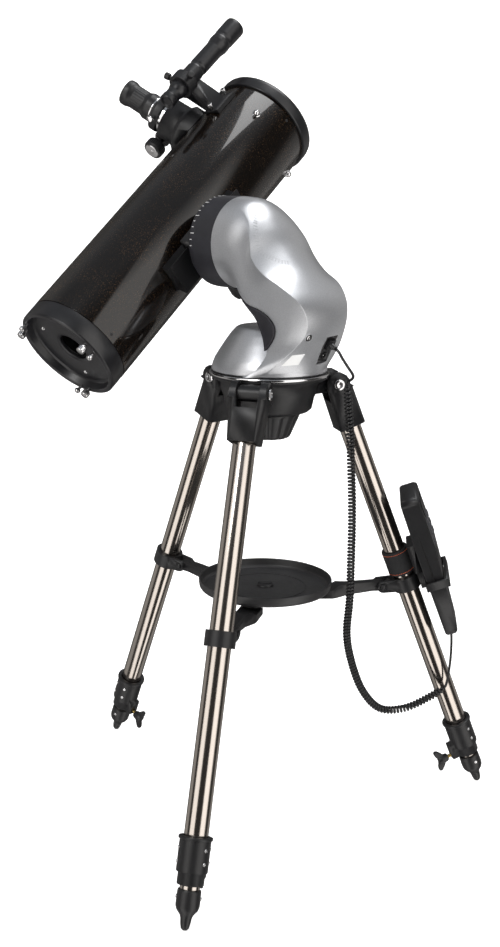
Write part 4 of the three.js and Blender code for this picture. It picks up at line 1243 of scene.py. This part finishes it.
class TELESCOPE_OT_focuser(bpy.types.Operator):
    """Makes the focuser, the eyepiece, the finder and their fittings"""

    bl_idname = "telescope.focuser"
    bl_label = "Focuser and finder"

    def execute(self, context):
        refined("focuser_base", "moulding", 0.7, "focuser base")
        out = FOCUSER @ ALONG_X
        tube = turned(
            [(16.3, 64), (22, 64), (22, 123.4), (21.4, 124), (16.9, 124), (16.3, 123.4)], out, 64, 0.25, closed=True
        )
        piece_from(tube, "drawtube", "bright", "drawtube_body", ("drawtube",))
        collar = turned(
            [(22.15, 113.2), (24.6, 113.2), (25.2, 114.2), (25.2, 122.6), (24.4, 124.2), (22.15, 124.2)],
            out, 72, 0.4, closed=True,
            ripple=lambda angle, radius, height: 1 - 0.012 * (math.cos(angle * 36) > 0) if radius > 25 else 1,
        )
        piece_from(collar, "drawtube collar", "moulding", "drawtube_body")
        self.eyepiece(out)
        self.knobs()
        self.finder()
        return {"FINISHED"}

    def eyepiece(self, out):
        shape = turned(
            [(0, 102), (15.6, 102), (15.9, 102.6), (15.9, 124.2), (18.2, 124.4), (18.8, 125.6), (18.8, 139),
             (17.8, 141.4), (16.4, 144.2), (16.1, 146), (16.1, 163), (16.8, 166.2), (17.8, 169), (18, 171), (17.8, 176),
             (16.6, 178), (14.6, 178.2), (13.2, 177.4), (12.2, 174), (10.4, 171.4), (0, 171)],
            out, 72, 0.35,
            ripple=lambda angle, radius, height: (
                1 - 0.02 * (0.5 + 0.5 * math.cos(angle * 36)) if 145 < height < 164 and radius > 15 else 1
            ),
        )
        piece_from(shape, "eyepiece", "moulding", "drawtube_body", ("eyepiece",), 30)
        lens = turned([(0, 170.6), (9.6, 170.6), (9.6, 171.4), (6, 172.5), (0, 173)], out, 40, 0.1)
        piece_from(lens, "eye lens", "mirror", "drawtube_body")
        band = turned([(18.7, 128), (19.0, 128.2), (19.0, 129.8), (18.7, 130)], out, 72, 0.1, closed=True)
        piece_from(band, "eyepiece band", "bright", "drawtube_body")

    def knobs(self):
        place = FOCUSER @ at(103, -27.4, 0)

        def grip(angle, radius, height):
            return 1 - 0.035 * (0.5 + 0.5 * math.cos(angle * 30)) if radius > 13.6 else 1

        shape = turned([(0, -41), (3, -41), (3, -12), (5, -12), (5, 12), (3, 12), (3, 41), (0, 41)], place, 32, 0.1)
        for side in (1, -1):
            turned(
                [(0, 27), (11.5, 27), (13.4, 28.2), (14, 29.6), (14, 38.6), (13.2, 40.6), (11.6, 41), (0, 41)],
                place @ Matrix.Rotation(0 if side > 0 else math.pi, 4, "X"), 120, 0.3, ripple=grip, target=shape,
            )
        piece_from(shape, "focus knobs", "moulding", "focus_knobs", ("focus_shaft",), 34)
        discs = bmesh.new()
        for side in (1, -1):
            turned(
                [(0, 40.6), (10.6, 40.6), (10.6, 41.9), (9.8, 42.5), (3, 42.3), (2.4, 42.8), (0, 42.8)],
                place @ Matrix.Rotation(0 if side > 0 else math.pi, 4, "X"), 48, 0.2, target=discs,
            )
        piece_from(discs, "focus knob discs", "bright", "focus_knobs")
        screws = [
            spot(FOCUSER, 79.5, 30.5 * math.sin(a), 30.5 * math.cos(a), (1, 0, 0))
            for a in (math.radians(45 + 90 * n) for n in range(4))
        ]
        set_out("focuser screws", pan_screw(2.0, 1.2), screws, "bright", "tube_body")
        thumb = fitting("thumb screw", lambda shape: turned(
            [(0, 0), (1.5, 0), (1.5, 4), (4.0, 4.3), (4.4, 5), (4.4, 10), (3.8, 10.8), (0, 11)],
            Matrix.Identity(4), 40, 0.25, target=shape,
            ripple=lambda angle, radius, height: 1 - 0.05 * (0.5 + 0.5 * math.cos(angle * 14)) if radius > 4.2 else 1,
        ))
        locks = [spot(FOCUSER, 119, 25.0 * c, 25.0 * s, (0, c, s)) for c, s in ((0.5, -0.87), (-0.94, 0.34))]
        set_out("drawtube locks", thumb, locks, "bright", "drawtube_body", 0.9)
        finder = [
            spot(OPTICS, 38 + 17.2 * math.cos(a), 111 + 17.2 * math.sin(a), 178, (math.cos(a), math.sin(a), 0))
            for a in (math.radians(30), math.radians(150))
        ]
        set_out("finder thumb screws", thumb, finder, "moulding", "tube_body", 1.1)
        foot = [spot(OPTICS, 3, 73.6, z, (0, 1, 0)) for z in (172, 204)]
        set_out("finder foot nuts", thumb, foot, "bright", "tube_body", 0.8)

    def finder(self):
        place = OPTICS @ at(38, 111, 0)
        shape = turned(
            [(0, 140.5), (6.5, 140.2), (8.6, 138), (10.2, 138), (11, 139.4), (11, 147), (10.2, 148.4), (10.2, 157),
             (11.4, 160), (12.4, 163), (12.5, 166), (12.5, 206), (11.8, 208), (11.8, 212), (12.5, 214), (12.5, 252),
             (13.2, 256), (14.2, 262), (14.2, 268), (13.7, 270), (13.7, 274), (14.2, 276), (14.5, 300), (14.2, 304),
             (12.9, 304), (12.4, 302), (12.4, 292), (0, 290.5)],
            place, 64, 0.35,
        )
        piece_from(shape, "finder scope", "satin", "tube_body", ("finder_scope",), 30)
        glass = turned([(0, 290.4), (12.2, 290.4), (12.2, 291.6), (6, 293.2), (0, 293.8)], place, 48, 0.1)
        piece_from(glass, "finder glass", "mirror", "tube_body")
        refined("finder_bracket", "moulding", 0.8, "finder bracket")


class TELESCOPE_OT_tripod(bpy.types.Operator):
    """Makes the tripod: head, legs, spreader and tray"""

    bl_idname = "telescope.tripod"
    bl_label = "Tripod"

    def execute(self, context):
        self.head()
        for place in LEGS:
            self.leg(place)
        refined("spreader_hub", "moulding", 1.0, "spreader hub")
        for place in LEGS:
            refined(f"spreader_arm_{place}", "moulding", 1.0, f"spreader arm {place}")
        self.tray()
        return {"FINISHED"}

    def head(self):
        refined("tripod_head", "moulding", 0.9, "tripod head")
        ring = turned(
            [(71.5, 582.9), (74.0, 582.9), (75.0, 583.8), (75.2, 585.2), (74.6, 586.6), (73.2, 587.0), (71.5, 586.4)],
            MOUNT, 128, 0.4, closed=True,
        )
        piece_from(ring, "bright ring", "bright", "root")

        def flutes(angle, radius, height):
            return 1 - 0.045 * (0.5 + 0.5 * math.cos(angle * 12)) ** 3 if radius > 18 and height < 534 else 1

        knob = turned(
            [(0, 503), (24, 503), (27, 504.4), (29, 508), (33.6, 519), (39.2, 532), (40.4, 535.6), (0, 535.7)],
            MOUNT, 144, 1.0, ripple=flutes,
        )
        turned([(0, 535.4), (8, 535.4), (8, 581), (0, 581.4)], MOUNT, 32, 0.3, target=knob)
        piece_from(knob, "mount lock knob", "moulding", "lock_knob", ("mount_lock_knob",), 36)

    def leg(self, place):
        down = leg_frame(place)
        body = f"leg_{place}"
        refined(f"leg_bracket_{place}", "moulding", 1.3, f"leg bracket {place}")
        bolt = bmesh.new()
        for side in (1, -1):
            turned(
                [(0, 0), (4, 0), (4, 22.9), (6.8, 23.3), (7.2, 24.2), (6.6, 25.8), (4.4, 26.4), (3.2, 26.3), (2.9, 24.9),
                 (0, 24.9)],
                down @ ALONG_Y @ Matrix.Rotation(0 if side > 0 else math.pi, 4, "X"), 36, 0.3, target=bolt,
            )
        piece_from(bolt, f"hinge bolt {place}", "bright", "root", (f"hinge_bolt_{place}",))
        tube = turned(
            [(12.8, -540), (14, -540), (14, -30), (12.8, -30)], down, 72, 0.2, closed=True
        )
        piece_from(tube, f"leg tube {place}", "leg", body, (f"leg_tube_{place}",))
        refined(f"ring_clamp_{place}", "moulding", 0.8, f"ring clamp {place}")
        refined(f"leg_collar_{place}", "moulding", 1.0, f"leg collar {place}")
        lip = turned(
            [(14.5, -516.2), (19.3, -516.2), (19.9, -515.2), (19.7, -512.9), (18.4, -512.4), (14.5, -512.4)],
            down, 64, 0.4, closed=True,
        )
        piece_from(lip, f"collar lip {place}", "moulding", body)
        rivets = [
            spot(down, 18.1 * math.cos(a), 18.1 * math.sin(a), z, (math.cos(a), math.sin(a), 0))
            for z in (-526, -541) for a in (math.radians(-62), math.radians(62), math.radians(180 - 62))
        ]
        set_out(f"collar rivets {place}", pan_screw(2.1, 1.1), rivets, "bright", body)
        self.wing(place, down)
        self.foot(place, down)

    def wing(self, place, down):
        middle = down @ at(0, 0, -561)
        stem = turned(
            [(0, 12.2), (2.5, 12.2), (2.5, 33), (0, 33)], middle @ ALONG_X @ Matrix.Rotation(math.pi, 4, "X"), 24, 0.2
        )
        piece_from(stem, f"wing stem {place}", "brass", f"wing_{place}")
        shape = turned(
            [(0, 29), (4.6, 29), (5.6, 31), (6.4, 38), (5.8, 43), (0, 44)],
            middle @ ALONG_X @ Matrix.Rotation(math.pi, 4, "X"), 40, 0.6,
        )
        outline = [
            (-33, -3), (-36.5, -9), (-41.5, -14.6), (-45, -15.6), (-47, -13.4), (-46.2, -8), (-44, -3.4), (-44, 3.4),
            (-46.2, 8), (-47, 13.4), (-45, 15.6), (-41.5, 14.6), (-36.5, 9), (-33, 3),
        ]
        prism(outline, -2.9, 2.9, middle @ Matrix.Rotation(math.radians(90), 4, "X"), 0.9, 3, shape)
        piece_from(shape, f"wing knob {place}", "moulding", f"wing_{place}", (f"wing_knob_{place}",), 36)

    def foot(self, place, down):
        tube = turned(
            [(10.3, -571), (11.5, -571), (11.5, -100), (10.3, -100)], down, 64, 0.15, closed=True
        )
        piece_from(tube, f"inner leg {place}", "leg", f"foot_{place}")
        shape = turned(
            [(0, -615.8), (2.6, -615.6), (4.6, -613.4), (5.8, -608.6), (6.6, -602), (8.0, -598.6), (12.2, -593.6),
             (13.6, -590), (13.9, -586), (13.7, -573), (13.2, -570.9), (0, -570.9)],
            down, 56, 0.6,
        )
        piece_from(shape, f"foot {place}", "moulding", f"foot_{place}", (f"inner_leg_{place}",), 36)
        screws = [spot(down, 13.7 * c, 13.7 * s, -580, (c, s, 0)) for c, s in ((0.2, -0.98), (-0.2, 0.98))]
        set_out(f"foot screws {place}", pan_screw(2.2, 1.2), screws, "bright", f"foot_{place}")

    def tray(self):
        shape = turned(
            [(7.3, 303.5), (79, 303.5), (83.4, 305.2), (85.2, 308), (86, 315.6), (85.8, 317.2), (84.6, 317.4),
             (83.9, 316.2), (82.8, 308.6), (80.8, 306.2), (78, 305.6), (12.3, 305.6), (12, 306.0), (7.3, 306.0)],
            MOUNT, 144, 0.5, closed=True,
        )
        piece_from(shape, "accessory tray", "tray", "tray", ("accessory_tray",), 36)
        refined("tray_latch", "moulding", 0.5, "tray latch")
        ridge = turned([(52, 305.5), (53, 305.5), (53, 306.2), (52, 306.2)], MOUNT, 128, 0.25, closed=True)
        piece_from(ridge, "tray ridge", "tray", "tray")


class TELESCOPE_OT_handset(bpy.types.Operator):
    """Makes the hand controller, its holder and the strap on the leg"""

    bl_idname = "telescope.handset"
    bl_label = "Hand controller"

    def execute(self, context):
        refined("handset_body", "moulding", 2.6, "handset body", 36)
        refined("handset_keypad", "key", 0.6, "handset keypad", 36)
        refined("handset_holder", "moulding", 1.4, "handset holder", 36)
        screen = block(54.2, 55.1, -22, 22, -203, -183, HANDSET, 0.3, 2)
        piece_from(screen, "handset screen", "satin", "leg_right")
        seam = block(38.6, 39.4, -34.4, 34.4, -300, -184, HANDSET, 0.15, 1)
        piece_from(seam, "handset seam", "seam_and_recess_shade", "leg_right")
        self.strap()
        return {"FINISHED"}

    def strap(self):
        band = turned(
            [(14.4, -275.6), (17.3, -275.6), (17.6, -274.6), (17.6, -242.4), (17.3, -241.4), (14.4, -241.4)],
            HANDSET, 72, 0.3, closed=True,
        )
        piece_from(band, "leg strap", "webbing", "leg_right", ("leg_strap",))
        places = []
        for z in (-244.6, -272.4):
            for number in range(44):
                angle = math.tau * number / 44
                out = (math.cos(angle), math.sin(angle), 0)
                places.append(spot(HANDSET, 17.55 * out[0], 17.55 * out[1], z, out, (-out[1], out[0], 0)))
        set_out("strap stitches", tick_mark(1.7, 0.55, 0.3), places, "stitch", "leg_right")


class TELESCOPE_PT_panel(bpy.types.Panel):
    """Lists the telescope's pieces, sizes and colours"""

    bl_idname = "TELESCOPE_PT_panel"
    bl_label = "Reflector Telescope"
    bl_space_type = "VIEW_3D"
    bl_region_type = "UI"
    bl_category = "Telescope"

    def draw(self, context):
        for group in (context.scene.telescope_sizes, context.scene.telescope_colours):
            for name in group.bl_rna.properties.keys():
                if name not in ("rna_type", "name"):
                    self.layout.prop(group, name)
        for operator in OPERATORS:
            self.layout.operator(operator.bl_idname)


OPERATORS = (
    TELESCOPE_OT_finishes, TELESCOPE_OT_stage, TELESCOPE_OT_cords, TELESCOPE_OT_tripod,
    TELESCOPE_OT_mount, TELESCOPE_OT_tube, TELESCOPE_OT_focuser, TELESCOPE_OT_handset,
)
CLASSES = (TelescopeSizes, TelescopeColours) + OPERATORS + (TELESCOPE_PT_panel,)


def register():
    for item in CLASSES:
        bpy.utils.register_class(item)
    bpy.types.Scene.telescope_sizes = bpy.props.PointerProperty(type=TelescopeSizes)
    bpy.types.Scene.telescope_colours = bpy.props.PointerProperty(type=TelescopeColours)


def unregister():
    del bpy.types.Scene.telescope_colours
    del bpy.types.Scene.telescope_sizes
    for item in reversed(CLASSES):
        bpy.utils.unregister_class(item)


def main():
    register()
    bpy.ops.telescope.finishes()
    bpy.ops.telescope.stage()
    bpy.ops.telescope.cords()
    bpy.ops.telescope.tripod()
    bpy.ops.telescope.mount()
    bpy.ops.telescope.tube()
    bpy.ops.telescope.focuser()
    bpy.ops.telescope.handset()


if __name__ == "__main__":
    main()
